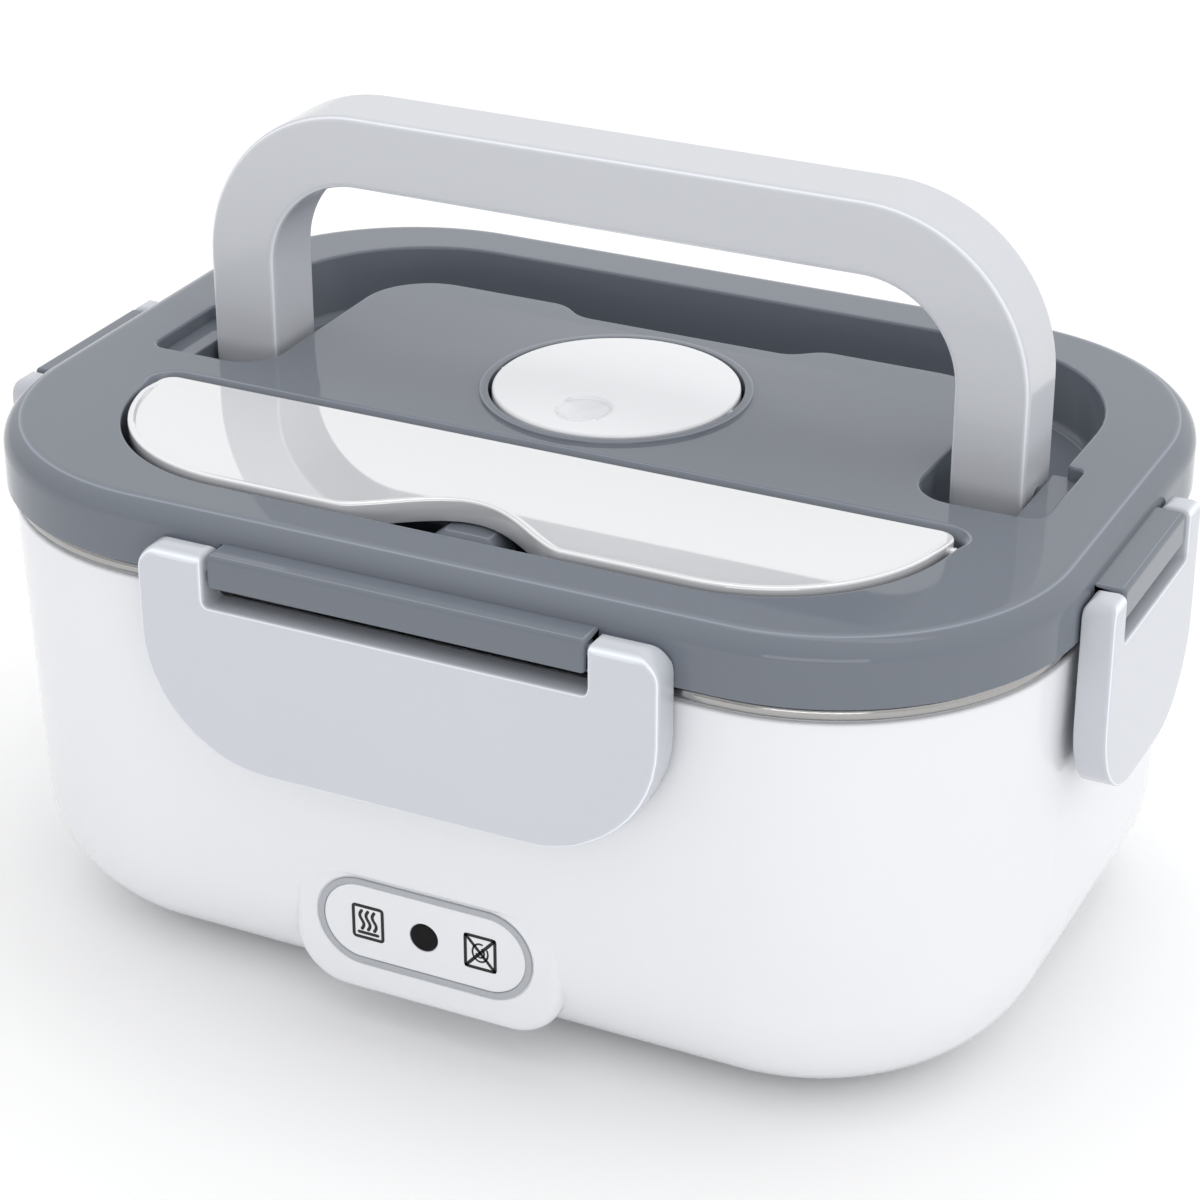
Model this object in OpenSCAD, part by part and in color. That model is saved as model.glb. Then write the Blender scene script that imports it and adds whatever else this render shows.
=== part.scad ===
// Electric lunch box: a heated plastic body that holds a steel food container,
// and a lift-off lid with a folding carry handle, a cutlery compartment under a
// half-moon cover, a rocking steam vent and four clip latches.
// X runs along the long side, Y towards the back, Z up. The origin is the
// bottom centre, on the table. Every wall follows the same rounded rectangle:
// its corner centres are shared, and a radius from them places each surface.

/* [Plan] */
// Length of the lid, side to side
body_len = 238; // [220:1:280]
// Depth of the lid, front to back
body_dep = 171; // [160:1:210]
// Plan radius of the lid's corners
corner_r = 54; // [50:1:60]

/* [Body] */
// Height of the feet under the body
foot_h = 1.5; // [1:0.1:4]
// Top of the plastic body above the table
body_top = 95.5; // [90:0.5:120]
// Step from the lid's side in to the body's side
lid_overhang = 1.6; // [1:0.1:3]
// Draft of the body's side, top to bottom edge
body_draft = 2.2; // [0.5:0.1:3]
// Radius of the body's rounded bottom edge
edge_r = 28; // [20:1:30]
// Wall of the plastic mouldings
wall = 2.4; // [1.8:0.1:3]
// Radius of the bottom opening from the corner centres
hatch_r = 22; // [18:1:24]

/* [Container] */
// Thickness of the steel sheet
steel_t = 0.8; // [0.5:0.1:1.2]
// Height of the rolled rim that shows under the lid
rim_h = 3.2; // [2.5:0.1:5]
// Radius of the container's mouth from the corner centres
mouth_r = 43.6; // [42:0.1:44]
// Draft of the container's side
pan_draft = 1.8; // [1:0.1:4]
// Food depth of the container
pan_depth = 55.2; // [40:0.2:60]
// Radius of the container's bottom edge
pan_edge_r = 10; // [6:0.5:14]
// Wall of the heating well round the container
well_wall = 2; // [1.5:0.1:2.5]
// Space between the container and the heating well
well_gap = 1.2; // [0.8:0.1:2]

/* [Lid] */
// Height of the lid above its lower edge
lid_h = 13.6; // [13:0.1:20]
// Gap between the steel rim and the lid's lower edge
seam = 0.4; // [0.3:0.1:1]
// Wall of the lid
lid_wall = 2.2; // [1.8:0.1:2.6]
// Radius of the lid's rounded top edge
lid_edge_r = 5; // [3:0.5:6]
// Depth of the handle trough below the lid's top
trough_depth = 15.4; // [14:0.1:16]
// Width of the rim between the lid's side and the trough
rim_w = 15.7; // [15.2:0.1:17]
// How far the trough reaches in front of the handle's pivots
slot_front = 21.6; // [19:0.2:22]
// How far the trough's outer walls stand in behind the pivots
cheek_in = 4; // [1:0.5:4.5]
// Gap between the handle's legs and the raised middle deck
deck_gap = 4; // [3:0.5:8]
// Gap between the folded grip and the deck's rear edge
grip_gap = 5.1; // [3:0.1:7]
// Plan radius of the deck's rear corners
deck_r = 16; // [10:1:20]
// Half the width of the finger recess in the deck's rear edge
recess_half = 22; // [15:1:28]
// Depth of that finger recess, also the rounding of its ends
recess_dep = 5; // [3:0.5:6]

/* [Handle] */
// Gap between the handle's legs and the trough's outer walls at the pivots
leg_gap = 8.3; // [7:0.1:12]
// Width of a leg, also the height of the grip
handle_bar = 16; // [12:0.5:18]
// Thickness of the handle, front to back
handle_t = 17.2; // [14:0.2:17.4]
// Outer radius of the handle's corners
handle_r = 37; // [30:1:40]
// Height of the grip's top above the lid
handle_rise = 55; // [45:1:55]
// Edge rounding of the handle
handle_edge = 2; // [1:0.1:3]
// Gap between the folded grip and the trough's rear wall
fold_gap = 1.2; // [0.8:0.1:2]
// Diameter of the handle's pivot pins
handle_pin = 5; // [4:0.5:6]

/* [Cutlery cover] */
// Distance from the trough's front end to the cover
cover_back = 13; // [12:0.5:16]
// Distance from the lid's front to the cover
cover_in = 16; // [16:0.5:18]
// Distance from the lid's sides to the cover
cover_side = 28; // [27:0.5:36]
// Length of the cover's straight ends
cover_end = 4; // [4:0.5:8]
// Plan radius of the cover's rear corners
cover_corner = 3.6; // [1:0.2:4]
// Thickness of the cover
cover_t = 2.6; // [2:0.1:3]
// Width of the finger notch at the cover's front edge
notch_w = 45; // [34:1:50]
// Depth of the finger notch
notch_dep = 12; // [8:0.5:14]
// Depth of the cover's skirt along the notch
skirt_dep = 3.6; // [2:0.2:4]
// Width of the block under the skirt that the cover rests on
rest_w = 18; // [10:1:24]
// Depth of the compartment below the lid's top
pocket_depth = 12; // [10:0.5:12]
// Gap round the cover
cover_gap = 1; // [0.6:0.1:1.5]

/* [Vent] */
// Radius of the vent cap
vent_r = 26.7; // [22:0.1:27]
// Distance from the deck's rear edge to the vent cap's centre
vent_in = 39.4; // [37:0.1:40]
// Rise of the cap's dome
vent_dome = 1.4; // [1:0.1:3]
// Radius of the press dimple
dimple_r = 6.2; // [4:0.1:8]
// Distance from the cap's centre to the dimple
dimple_y = 15.9; // [12:0.1:17]
// Depth of the recess that the cap rocks in
vent_depth = 8.5; // [8:0.1:9]
// Gap round the cap
vent_gap = 0.8; // [0.5:0.1:1.2]
// Width of the raised collar round the cap
vent_rim_w = 2; // [1.5:0.1:2.5]
// Height of the collar above the lid's top
vent_rim_h = 0.8; // [0.8:0.1:1.2]

/* [Latches] */
// Half the width of the front and rear latches
front_half = 57; // [50:0.5:60]
// Half the width of the side latches
side_half = 28; // [24:0.5:30]
// Place of the side latches along the side, towards the back
side_y = -8; // [-10:0.5:0]
// Bottom corner radius of the front and rear latches
front_corner = 28; // [15:0.5:29]
// Bottom corner radius of the side latches
side_corner = 20; // [10:0.5:20]
// Width of a front or rear latch's ears
front_ear = 15; // [10:0.5:18]
// Width of a side latch's ears
side_ear = 7.6; // [6:0.2:9]
// Height of the latches' hinge line above the lid's lower edge
hinge_up = 6; // [5.4:0.1:6.6]
// Distance from the lid's side out to the hinge line
hinge_out = 3.7; // [3.6:0.1:5]
// Radius of the ears round the hinge line
ear_r = 3.4; // [3:0.1:3.4]
// Length of a latch below its hinge line
latch_drop = 43.4; // [38:0.2:46]
// Height of the gap between the hinge bar and the latch
notch_drop = 7.9; // [7:0.1:10]
// Thickness of the latch's front
latch_t = 2.4; // [1.8:0.1:2.6]
// Diameter of the latch pins
latch_pin = 3; // [2:0.1:3.2]

/* [Panel] */
// Height of the panel's centre above the table
panel_z = 26.5; // [26:0.5:30]
// Length of the grey panel ring
ring_len = 49.6; // [44:0.2:50]
// Height of the grey panel ring
ring_h = 20.4; // [16:0.2:21]
// Width of the ring
ring_w = 1.3; // [1:0.1:2]
// Diameter of the lamp window
lamp_d = 6.3; // [5:0.1:8]
// Half the width of the panel's pod
pod_half = 31; // [28:0.5:34]
// Lower end of the pod above the table
pod_low = 9; // [7:0.5:10]
// Upper end of the pod above the table
pod_high = 42; // [41:0.5:46]
// How far the pod's face stands out from the body's side
pod_out = 0.6; // [0.5:0.1:3]

/* [Heater] */
// Half the length of the heating plate
plate_half_x = 70; // [60:1:72]
// Half the depth of the heating plate
plate_half_y = 36; // [32:1:40]
// Thickness of the heating plate's edge
plate_t = 2; // [1.5:0.1:3]
// Length of the heating element
ptc_len = 60; // [40:1:64]
// Width of the heating element
ptc_w = 26; // [20:1:28]
// Thickness of the heating element
ptc_t = 6; // [4:0.5:7]
// Diameter of the thermostat
thermo_d = 16; // [12:0.5:16]

/* [Power inlet] */
// Height of the inlet's centre above the table
inlet_z = 26; // [25:0.5:29]
// Width of the inlet's flange
inlet_w = 26; // [24:0.5:30]
// Height of the inlet's flange
inlet_h = 15; // [13:0.5:16]
// Spacing of the inlet's pins
pin_pitch = 9.6; // [8:0.1:10.4]
// Distance from the inlet's face in to the ends of its pins
pin_in = 4; // [1:0.5:5]

/* [Hidden] */
$fn = 72;
fit = 0.3;              // gap between pieces that part or move
seat = 0.05;            // radial clearance of a pin that turns
cx = body_len / 2 - corner_r;
cy = body_dep / 2 - corner_r;
far = 400;              // longer than any cut

// Body
housing_r = corner_r - lid_overhang;
low_r = housing_r - body_draft;
ledge_r = hatch_r - 10;
plate_seat = foot_h + 2.3;
ledge_top = plate_seat + wall;
base_screw_x = cx - 10;
base_screw_y = cy + hatch_r - 5;
base_boss = 10;

// Container and heating well
rim_z = body_top + fit;
rim_top = rim_z + rim_h;
pan_r = mouth_r + steel_t;
pan_floor = rim_top - pan_depth;
well_r = pan_r + well_gap;
well_top = rim_top - steel_t - fit;
well_floor = pan_floor - steel_t - well_gap;
plate_top = pan_floor - steel_t - fit;

// Lid
lid_low = rim_top + seam;
inner_r = lid_edge_r - lid_wall; // rounding inside the lid's edge
lid_top = lid_low + lid_h;
deck_low = lid_top - lid_wall;
trough_floor = lid_top - trough_depth;
trough_under = trough_floor - 2;
handle_z = lid_top - 6;
handle_top = lid_top + handle_rise;
handle_reach = handle_top - handle_z;
trough_r = corner_r - rim_w;
handle_y = cy + trough_r - fold_gap - handle_reach;
handle_half = cx + trough_r - leg_gap;
deck_half = handle_half - handle_bar - deck_gap;
deck_rear = handle_y + handle_reach - handle_bar - grip_gap;
trough_front = handle_y - slot_front;
cheek_y = handle_y + handle_pin; // where the trough gets narrower behind the pivots
slot_r = 9;             // rounding of an arm's front end, next to the deck
slot_outer_r = 3.5;     // and next to the rim
step_r = 1.8;           // rounding inside the step behind a pivot
pocket_floor = lid_top - pocket_depth;
carrier_r = trough_r + lid_wall + fit;
carrier_t = 2;
carrier_low = trough_under - 0.4 - carrier_t;
carrier_out = corner_r - lid_wall - fit;
skirt_w = 1.8;          // upright wall of the lid's inner cover
groove_wall = 1.2;      // walls of the gasket's groove
lid_screw_len = 10;
lid_screw_in = 15;      // how far the screws lie inside the deck's sides
rib_in = 5;             // rib that bears on the inner cover
rib_w = 2;
shelf_z = lid_low + 2.6;

// Cutlery cover
cover_front = cover_in - body_dep / 2;
cover_rear = trough_front - cover_back;
cover_half = body_len / 2 - cover_side;
cover_r = cover_rear - cover_front - cover_end;
cover_top = lid_top + 0.2;
cover_low = cover_top - cover_t;
cover_pin_z = cover_top - cover_t / 2;
cover_pin_y = cover_rear - 3;
cover_pin_r = 1.3;
skirt_t = 1.6;          // thickness of the skirt along the notch
rest_top = cover_low - skirt_dep - fit;
rest_lead = 3;          // top of the block in front of the skirt
rest_foot = 8;          // its foot in front of the skirt
cover_mid_y = cover_front + cover_r;
cover_mid_x = cover_half - cover_r;

// Vent
vent_y = deck_rear - vent_in;
vent_floor = lid_top - vent_depth;
vent_low = lid_top - 1.6;
vent_edge = lid_top + 1.1;
vent_pin_z = vent_low + 0.85;
vent_pin_r = 1;
vent_pin_end = vent_r + vent_gap + 1.3;
vent_hole = 3.5;
vent_hole_y = vent_r - 11.7; // the steam hole lies under the cap's rear half

// Latches
hinge_z = lid_low + hinge_up;
front_y = body_dep / 2 + hinge_out;
side_x = body_len / 2 + hinge_out;
rib_slope = 0.896;      // rise of the catch face for each mm outwards
catch_z = -20.1;        // outer end of the catch face below the hinge line
catch_in = 2.4;         // how far inside the hinge line the rail ends
catch_root = hinge_out + lid_overhang + 1.6;
hook_in = 4.4;          // how far inside the hinge line the hook reaches

// Panel and inlet
face_y = cy + low_r + pod_out;
panel_deep = 1.6;
inlet_half = inlet_w / 2 + 5;
pod_rim = 8;            // face left round the inlet, above and below
pod_r = 12;             // corner radius of both pods
pod_root = 40;          // how deep both pods start, inside the body
inlet_low = inlet_z - inlet_h / 2 - pod_rim;
inlet_high = inlet_z + inlet_h / 2 + pod_rim;
flange = 2;             // how far the inlet's flange covers the wall
flange_t = 1.6;
flange_r = 3;
socket_h = 8.2;
socket_dep = 10;
socket_back = 4;        // moulding behind the socket
pin_d = 2.4;

// Bottom cover, feet and small fasteners
screw_d = 2.6;          // thread of every screw, and of its hole
head_d = 5.4;
head_h = 1.5;
screw_play = 0.6;       // added to the screw holes and head recesses of covers
head_sunk = 1;          // depth of those recesses
screw_boss = 8;
slot_w = 3;             // slots in the bottom cover
slot_pitch = 8;
slot_len = 28;
foot_sunk = 0.8;
foot_d = 14;
foot_x = cx + 3;
foot_y = cy + 4;
vent_slots = 3;
board_gap = 3;
board_w = 30;
board_h = 14;
lamp_body = 5;          // the lamp on the board
pad_low = plate_top - plate_t - 3;
clamp_t = 1.2;
clamp_bite = plate_t + 0.5; // depth of the clamp's screw holes
clamp_w = 16;
clamp_foot = 10;
clamp_x = ptc_len / 2 + fit + clamp_t + (clamp_foot - clamp_t) / 2;
thermo_y = (ptc_w + thermo_d) / 2 + 1;
thermo_h = 9;
tab_w = 6.3;            // terminal tabs
tab_len = 6;
fuse_len = 14;
fuse_r = 2.5;
pin_boss = 5;
gasket_in = carrier_r + skirt_w + groove_wall + 0.2;
lid_screw_x = deck_half - lid_screw_in;
lid_screw_at = [for (sx = [-1, 1], y = [trough_front - 5, handle_y + 12.4]) [sx * lid_screw_x, y]];
dimple_ball = 10;
dimple_z = vent_edge + vent_dome * (1 - (dimple_y / vent_r) * (dimple_y / vent_r))
           + sqrt(dimple_ball * dimple_ball - dimple_r * dimple_r);

// ---- shapes shared by many pieces ----

// Quarter of a disc, with its straight edges on the axes
module quarter(r) {
    intersection() {
        circle(r);
        square(2 * r);
    }
}

// Carries a wall section round the plan. The section's x is the distance from
// the corner centre and its y is the height.
module around(hx, hy) {
    for (k = [0:3]) {
        ax = k % 2 == 0 ? hx : hy;
        ay = k % 2 == 0 ? hy : hx;
        rotate([0, 0, 90 * k])
            translate([ax, ay, 0]) {
                rotate_extrude(angle = 90) children();
                rotate([90, 0, 0]) linear_extrude(2 * ay) children();
            }
    }
}

// Flat rounded rectangle: hx and hy place the corner centres
module rounded_flat(hx, hy, r) {
    translate([-hx, -hy - r]) square([2 * hx, 2 * (hy + r)]);
    for (s = [-1, 1])
        translate([s > 0 ? hx : -hx - r, -hy]) square([r, 2 * hy]);
    for (k = [0:3])
        translate([(k == 0 || k == 3 ? 1 : -1) * hx, (k < 2 ? 1 : -1) * hy])
            rotate(90 * k) quarter(r);
}

// Middle plate between the four corner centres
module middle(low, high) {
    translate([-cx, -cy, low]) cube([2 * cx, 2 * cy, high - low]);
}

// Section of a tub from its axis out: a drafted side down to a rounded bottom
// edge, at a bottom height of low
module tub_section(r_top, top, r_low, edge, low) {
    polygon([[0, low + edge], [r_low, low + edge], [r_top, top], [0, top]]);
    translate([0, low]) square([r_low - edge, edge]);
    translate([r_low - edge, low + edge]) rotate(-90) quarter(edge);
}

// Bar section with its two far corners rounded, from x = 0 to w and +-t/2
module nose_section(w, t, e) {
    translate([0, -t / 2]) square([w - e, t]);
    translate([w - e, -t / 2 + e]) square([e, t - 2 * e]);
    translate([w - e, t / 2 - e]) quarter(e);
    translate([w - e, -t / 2 + e]) rotate(-90) quarter(e);
}

// Round bar along X
module rod_x(r, from, to) {
    translate([from, 0, 0]) rotate([0, 90, 0]) cylinder(r = r, h = to - from);
}

// Puts a piece on side k of the box: 0 front, 1 right, 2 rear, 3 left, with
// its origin on that side's hinge line
module on_side(k) {
    out = k % 2 == 0 ? front_y : side_x;
    along = k == 1 ? side_y : k == 3 ? -side_y : 0;
    rotate([0, 0, 90 * k]) translate([along, -out, hinge_z]) children();
}
function side_w(k) = k % 2 == 0 ? front_half : side_half;
function side_e(k) = k % 2 == 0 ? front_ear : side_ear;

// ---- body ----

// Local extension of the body's side wall that carries a panel or the inlet;
// inset shrinks it to its own hollow
module pod(half, low, high, inset) {
    r = pod_r - inset;
    hx = half - pod_r;
    hz = (high - low) / 2 - pod_r;
    e = inset > 0 ? 1 : 2.4;
    translate([0, -pod_root, (low + high) / 2])
        rotate([90, 0, 0]) {
            around(hx, hz) {
                square([r - e, face_y - pod_root - inset]);
                square([r, face_y - pod_root - inset - e]);
                translate([r - e, face_y - pod_root - inset - e]) quarter(e);
            }
            translate([-hx, -hz, 0]) cube([2 * hx, 2 * hz, face_y - pod_root - inset]);
        }
}

// Rail on the body's side that a latch hooks under
module catch_rib(k) {
    half = side_w(k) - side_e(k) - 10;
    on_side(k)
        rotate([90, 0, 90])
            translate([0, 0, -half])
                linear_extrude(2 * half)
                    polygon([[catch_root, catch_z - (catch_root - catch_in) * rib_slope],
                             [catch_in, catch_z],
                             [catch_in, catch_z + 1.8],
                             [catch_root, catch_z + 4.6]]);
}

module body_cavity() {
    around(cx, cy)
        difference() {
            tub_section(housing_r - wall, body_top, low_r - wall, edge_r - wall, foot_h + wall);
            square([far, ledge_top]);
        }
    middle(ledge_top, body_top);
}

module body_outside() {
    around(cx, cy) tub_section(housing_r, body_top, low_r, edge_r, foot_h);
    middle(foot_h, body_top);
    pod(pod_half, pod_low, pod_high, 0);
    rotate([0, 0, 180]) pod(inlet_half, inlet_low, inlet_high, 0);
    for (k = [0:3]) catch_rib(k);
}

// Flat bar with round ends
module stadium(len, h) {
    translate([-(len - h) / 2, -h / 2]) square([len - h, h]);
    translate([(len - h) / 2, 0]) rotate(-90) half_disc(h / 2);
    translate([-(len - h) / 2, 0]) rotate(90) half_disc(h / 2);
}

module half_disc(r) {
    quarter(r);
    rotate(90) quarter(r);
}

// Stands a flat shape on the panel's face, from depth mm behind it to the face
module on_panel(depth, proud) {
    translate([0, -face_y + depth, panel_z])
        rotate([90, 0, 0])
            linear_extrude(depth + proud) children();
}

module outer_housing() {
    color("white")
    difference() {
        union() {
            difference() {
                body_outside();
                body_cavity();
                pod(pod_half, pod_low, pod_high, wall);
                rotate([0, 0, 180]) pod(inlet_half, inlet_low, inlet_high, wall);
            }
            // bosses for the bottom cover's screws
            for (sx = [-1, 1], sy = [-1, 1])
                translate([sx * base_screw_x, sy * base_screw_y, ledge_top])
                    cylinder(d = screw_boss, h = base_boss);
            // posts for the lamp board
            for (s = [-1, 1])
                translate([s * 11, -face_y + wall, panel_z])
                    rotate([-90, 0, 0]) cylinder(d = 4, h = board_gap);
        }
        // bottom opening with the rebate that the cover sits in
        around(cx, cy) {
            translate([0, 0]) square([ledge_r, ledge_top]);
            translate([ledge_r, 0]) square([hatch_r + fit - ledge_r, plate_seat]);
        }
        middle(0, ledge_top);
        for (sx = [-1, 1], sy = [-1, 1])
            translate([sx * base_screw_x, sy * base_screw_y, 0])
                cylinder(d = screw_d, h = ledge_top + base_boss - 2);
        // seat of the panel and the lamp's hole
        translate([0, -face_y + panel_deep, panel_z])
            rotate([90, 0, 0]) linear_extrude(5) stadium(ring_len, ring_h);
        translate([0, -face_y - 1, panel_z])
            rotate([-90, 0, 0]) cylinder(d = lamp_d + 1.6, h = wall + 2);
        // opening for the inlet's body
        translate([-inlet_w / 2 + flange, face_y - wall - 1, inlet_z - inlet_h / 2 + flange])
            cube([inlet_w - 2 * flange, wall + 3, inlet_h - 2 * flange]);
    }
}

// Rounded block between four corner columns, standing on low
module slab(hx, hy, r, low, high) {
    translate([0, 0, low]) linear_extrude(high - low) rounded_flat(hx, hy, r);
}

module base_plate() {
    color("white")
    difference() {
        slab(cx, cy, hatch_r, foot_h, plate_seat);
        for (sx = [-1, 1], sy = [-1, 1]) {
            translate([sx * base_screw_x, sy * base_screw_y, 0]) {
                cylinder(d = screw_d + screw_play, h = far);
                cylinder(d = head_d + screw_play, h = foot_h + head_sunk);
            }
            translate([sx * foot_x, sy * foot_y, 0])
                cylinder(d = foot_d, h = foot_h + foot_sunk);
        }
        // slots that let the heat out
        for (i = [-vent_slots : vent_slots])
            translate([i * slot_pitch - slot_w / 2, -slot_len / 2, 0]) cube([slot_w, slot_len, far]);
    }
}

// Screw pointing up: its head hangs below the origin, with a cross slot
module screw(len) {
    difference() {
        union() {
            translate([0, 0, -head_h]) cylinder(d = head_d, h = head_h);
            translate([0, 0, -head_h / 2]) cylinder(d = screw_d, h = len + head_h / 2);
        }
        for (a = [0, 90])
            rotate([0, 0, a])
                translate([-head_d / 3, -head_d / 14, -2 * head_h])
                    cube([head_d / 1.5, head_d / 7, head_h * 1.4]);
    }
}

module base_screws() {
    color("silver")
    for (sx = [-1, 1], sy = [-1, 1])
        translate([sx * base_screw_x, sy * base_screw_y, foot_h + head_sunk])
            screw(ledge_top + base_boss - 3 - foot_h - head_sunk);
}

module rubber_feet() {
    color("gray")
    for (sx = [-1, 1], sy = [-1, 1])
        translate([sx * foot_x, sy * foot_y, 0])
            rotate_extrude() {
                translate([0, 0]) square([foot_d / 2 - 1, 1]);
                translate([0, 1]) square([foot_d / 2, foot_h + foot_sunk - 1]);
                translate([foot_d / 2 - 1, 1]) rotate(-90) quarter(1);
            }
}

module inner_liner() {
    color("gainsboro")
    difference() {
        union() {
            around(cx, cy) {
                difference() {
                    tub_section(well_r + well_wall, well_top, well_r - pan_draft + well_wall,
                                pan_edge_r + well_gap + well_wall, well_floor - well_wall);
                    tub_section(well_r, well_top, well_r - pan_draft,
                                pan_edge_r + well_gap, well_floor);
                }
                translate([well_r + well_wall / 2, body_top])
                    square([housing_r - steel_t - 0.4 - well_r - well_wall / 2, well_top - body_top]);
            }
            middle(well_floor - well_wall, well_floor);
        }
        // window and rebate for the heating plate
        translate([0, 0, plate_top - plate_t])
            linear_extrude(far) plate_flat(fit);
        translate([0, 0, well_floor - well_wall - 1])
            linear_extrude(far) plate_flat(fit - 6);
    }
}

module plate_flat(grow) {
    rounded_flat(plate_half_x - 12, plate_half_y - 12, 12 + grow);
}

module heating_plate() {
    color("silver")
    difference() {
        union() {
            translate([0, 0, plate_top - plate_t]) linear_extrude(plate_t) plate_flat(0);
            translate([0, 0, pad_low])
                linear_extrude(plate_top - plate_t - pad_low) plate_flat(-6);
        }
        for (s = [-1, 1])
            translate([s * clamp_x, 0, pad_low - 1])
                cylinder(d = screw_d, h = 1 + clamp_bite);
    }
}

module ptc_heater() {
    color("dimgray")
    translate([-ptc_len / 2, -ptc_w / 2, pad_low - ptc_t]) cube([ptc_len, ptc_w, ptc_t]);
}

// Sprung strap that holds the element against the plate
module heater_clamp() {
    in = ptc_len / 2 + fit;
    low = pad_low - clamp_t;
    color("silver")
    difference() {
        translate([0, clamp_w / 2, 0])
            rotate([90, 0, 0])
                linear_extrude(clamp_w)
                    polygon([[-in - clamp_foot, pad_low], [-in, pad_low], [-in, pad_low - ptc_t],
                             [in, pad_low - ptc_t], [in, pad_low], [in + clamp_foot, pad_low],
                             [in + clamp_foot, low], [in + clamp_t, low],
                             [in + clamp_t, low - ptc_t], [-in - clamp_t, low - ptc_t],
                             [-in - clamp_t, low], [-in - clamp_foot, low]]);
        for (s = [-1, 1])
            translate([s * clamp_x, 0, 0]) cylinder(d = screw_d + screw_play, h = far);
    }
}

module clamp_screws() {
    color("silver")
    for (s = [-1, 1])
        translate([s * clamp_x, 0, pad_low - clamp_t]) screw(clamp_t + clamp_bite - 0.5);
}

module thermostat() {
    can = thermo_h * 0.45;
    color("gainsboro")
    translate([-thermo_d - 2, thermo_y, pad_low]) {
        translate([0, 0, -can]) cylinder(d = thermo_d, h = can);
        translate([0, 0, -thermo_h]) cylinder(d = thermo_d - 2, h = thermo_h - can);
        for (s = [-1, 1])
            translate([s * thermo_d / 4 - 0.4, -tab_w / 2, -thermo_h - tab_len])
                cube([0.8, tab_w, tab_len]);
    }
}

module thermal_fuse() {
    color("white")
    translate([fuse_len, thermo_y, pad_low - fuse_r]) {
        rod_x(fuse_r, -fuse_len / 2, fuse_len / 2);
        rod_x(fuse_r / 5, -fuse_len, fuse_len);
    }
}

module ac_inlet() {
    w = inlet_w - 2 * flange;
    h = inlet_h - 2 * flange;
    color("white")
    translate([0, face_y, inlet_z])
        rotate([-90, 0, 0])
            difference() {
                union() {
                    linear_extrude(flange_t)
                        rounded_flat(inlet_w / 2 - flange_r, inlet_h / 2 - flange_r, flange_r);
                    translate([-w / 2 + fit, -h / 2 + fit, -socket_dep - socket_back])
                        cube([w - 2 * fit, h - 2 * fit, socket_dep + socket_back]);
                }
                translate([0, 0, -socket_dep])
                    linear_extrude(far) stadium(pin_pitch + socket_h, socket_h);
                for (s = [-1, 1])
                    translate([s * pin_pitch / 2, 0, -far / 2]) cylinder(d = pin_d, h = far);
            }
}

module inlet_pins() {
    tail = socket_dep + 2 * socket_back;
    color("silver")
    for (s = [-1, 1])
        translate([s * pin_pitch / 2, face_y - tail, inlet_z])
            rotate([-90, 0, 0]) cylinder(d = pin_d, h = tail - pin_in);
}

module panel_ring() {
    color("silver")
    on_panel(panel_deep, 0.3)
        difference() {
            stadium(ring_len, ring_h);
            stadium(ring_len - 2 * ring_w, ring_h - 2 * ring_w);
        }
}

module panel_plate() {
    color("white")
    difference() {
        on_panel(panel_deep, 0)
            stadium(ring_len - 2 * ring_w, ring_h - 2 * ring_w);
        translate([0, -far / 2, panel_z]) rotate([-90, 0, 0]) cylinder(d = lamp_d, h = far);
    }
}

module led_lens() {
    color("black")
    translate([0, -face_y - 0.1, panel_z])
        rotate([-90, 0, 0]) cylinder(d = lamp_d, h = panel_deep + 0.5);
}

module led_board() {
    color("seagreen")
    translate([-board_w / 2, -face_y + wall + board_gap, panel_z - board_h / 2])
        cube([board_w, 1.6, board_h]);
    color("white")
    translate([0, -face_y + panel_deep + 0.4, panel_z])
        rotate([-90, 0, 0]) cylinder(d = lamp_body, h = wall + board_gap - panel_deep - 0.4);
}

// ---- container ----

module steel_container() {
    color("silver") {
        around(cx, cy) {
            difference() {
                tub_section(pan_r, rim_top, pan_r - pan_draft, pan_edge_r, pan_floor - steel_t);
                tub_section(mouth_r, rim_top, mouth_r - pan_draft, pan_edge_r - steel_t, pan_floor);
            }
            translate([mouth_r + steel_t / 2, rim_top - steel_t])
                square([housing_r - mouth_r - steel_t * 1.5, steel_t]);
            translate([housing_r - steel_t, rim_z]) square([steel_t, rim_h - steel_t]);
            translate([housing_r - steel_t, rim_top - steel_t]) quarter(steel_t);
        }
        middle(pan_floor - steel_t, pan_floor);
    }
}

// ---- lid ----

// Plan of the raised middle deck: the front field and the tongue between the
// trough's two arms; in shrinks it to the hollow underneath
module deck_flat(in) {
    translate([-far / 2, -far]) square([far, far + trough_front - in]);
    difference() {
        union() {
            translate([-deck_half + in, trough_front - in - 1])
                square([2 * (deck_half - in), deck_rear - deck_r - trough_front + in + 1]);
            translate([-deck_half + deck_r, deck_rear - deck_r])
                square([2 * (deck_half - deck_r), deck_r - in]);
            for (s = [0, 1])
                mirror([s, 0])
                    translate([deck_half - deck_r, deck_rear - deck_r]) quarter(deck_r - in);
        }
        // finger recess behind the middle of the deck
        translate([0, deck_rear]) stadium(2 * (recess_half + recess_dep + in), 2 * (recess_dep + in));
        for (s = [0, 1])
            mirror([s, 0])
                translate([recess_half + recess_dep + in, deck_rear - in])
                    mirror([0, 1]) fillet_flat(recess_dep - in / 2);
    }
}

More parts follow.
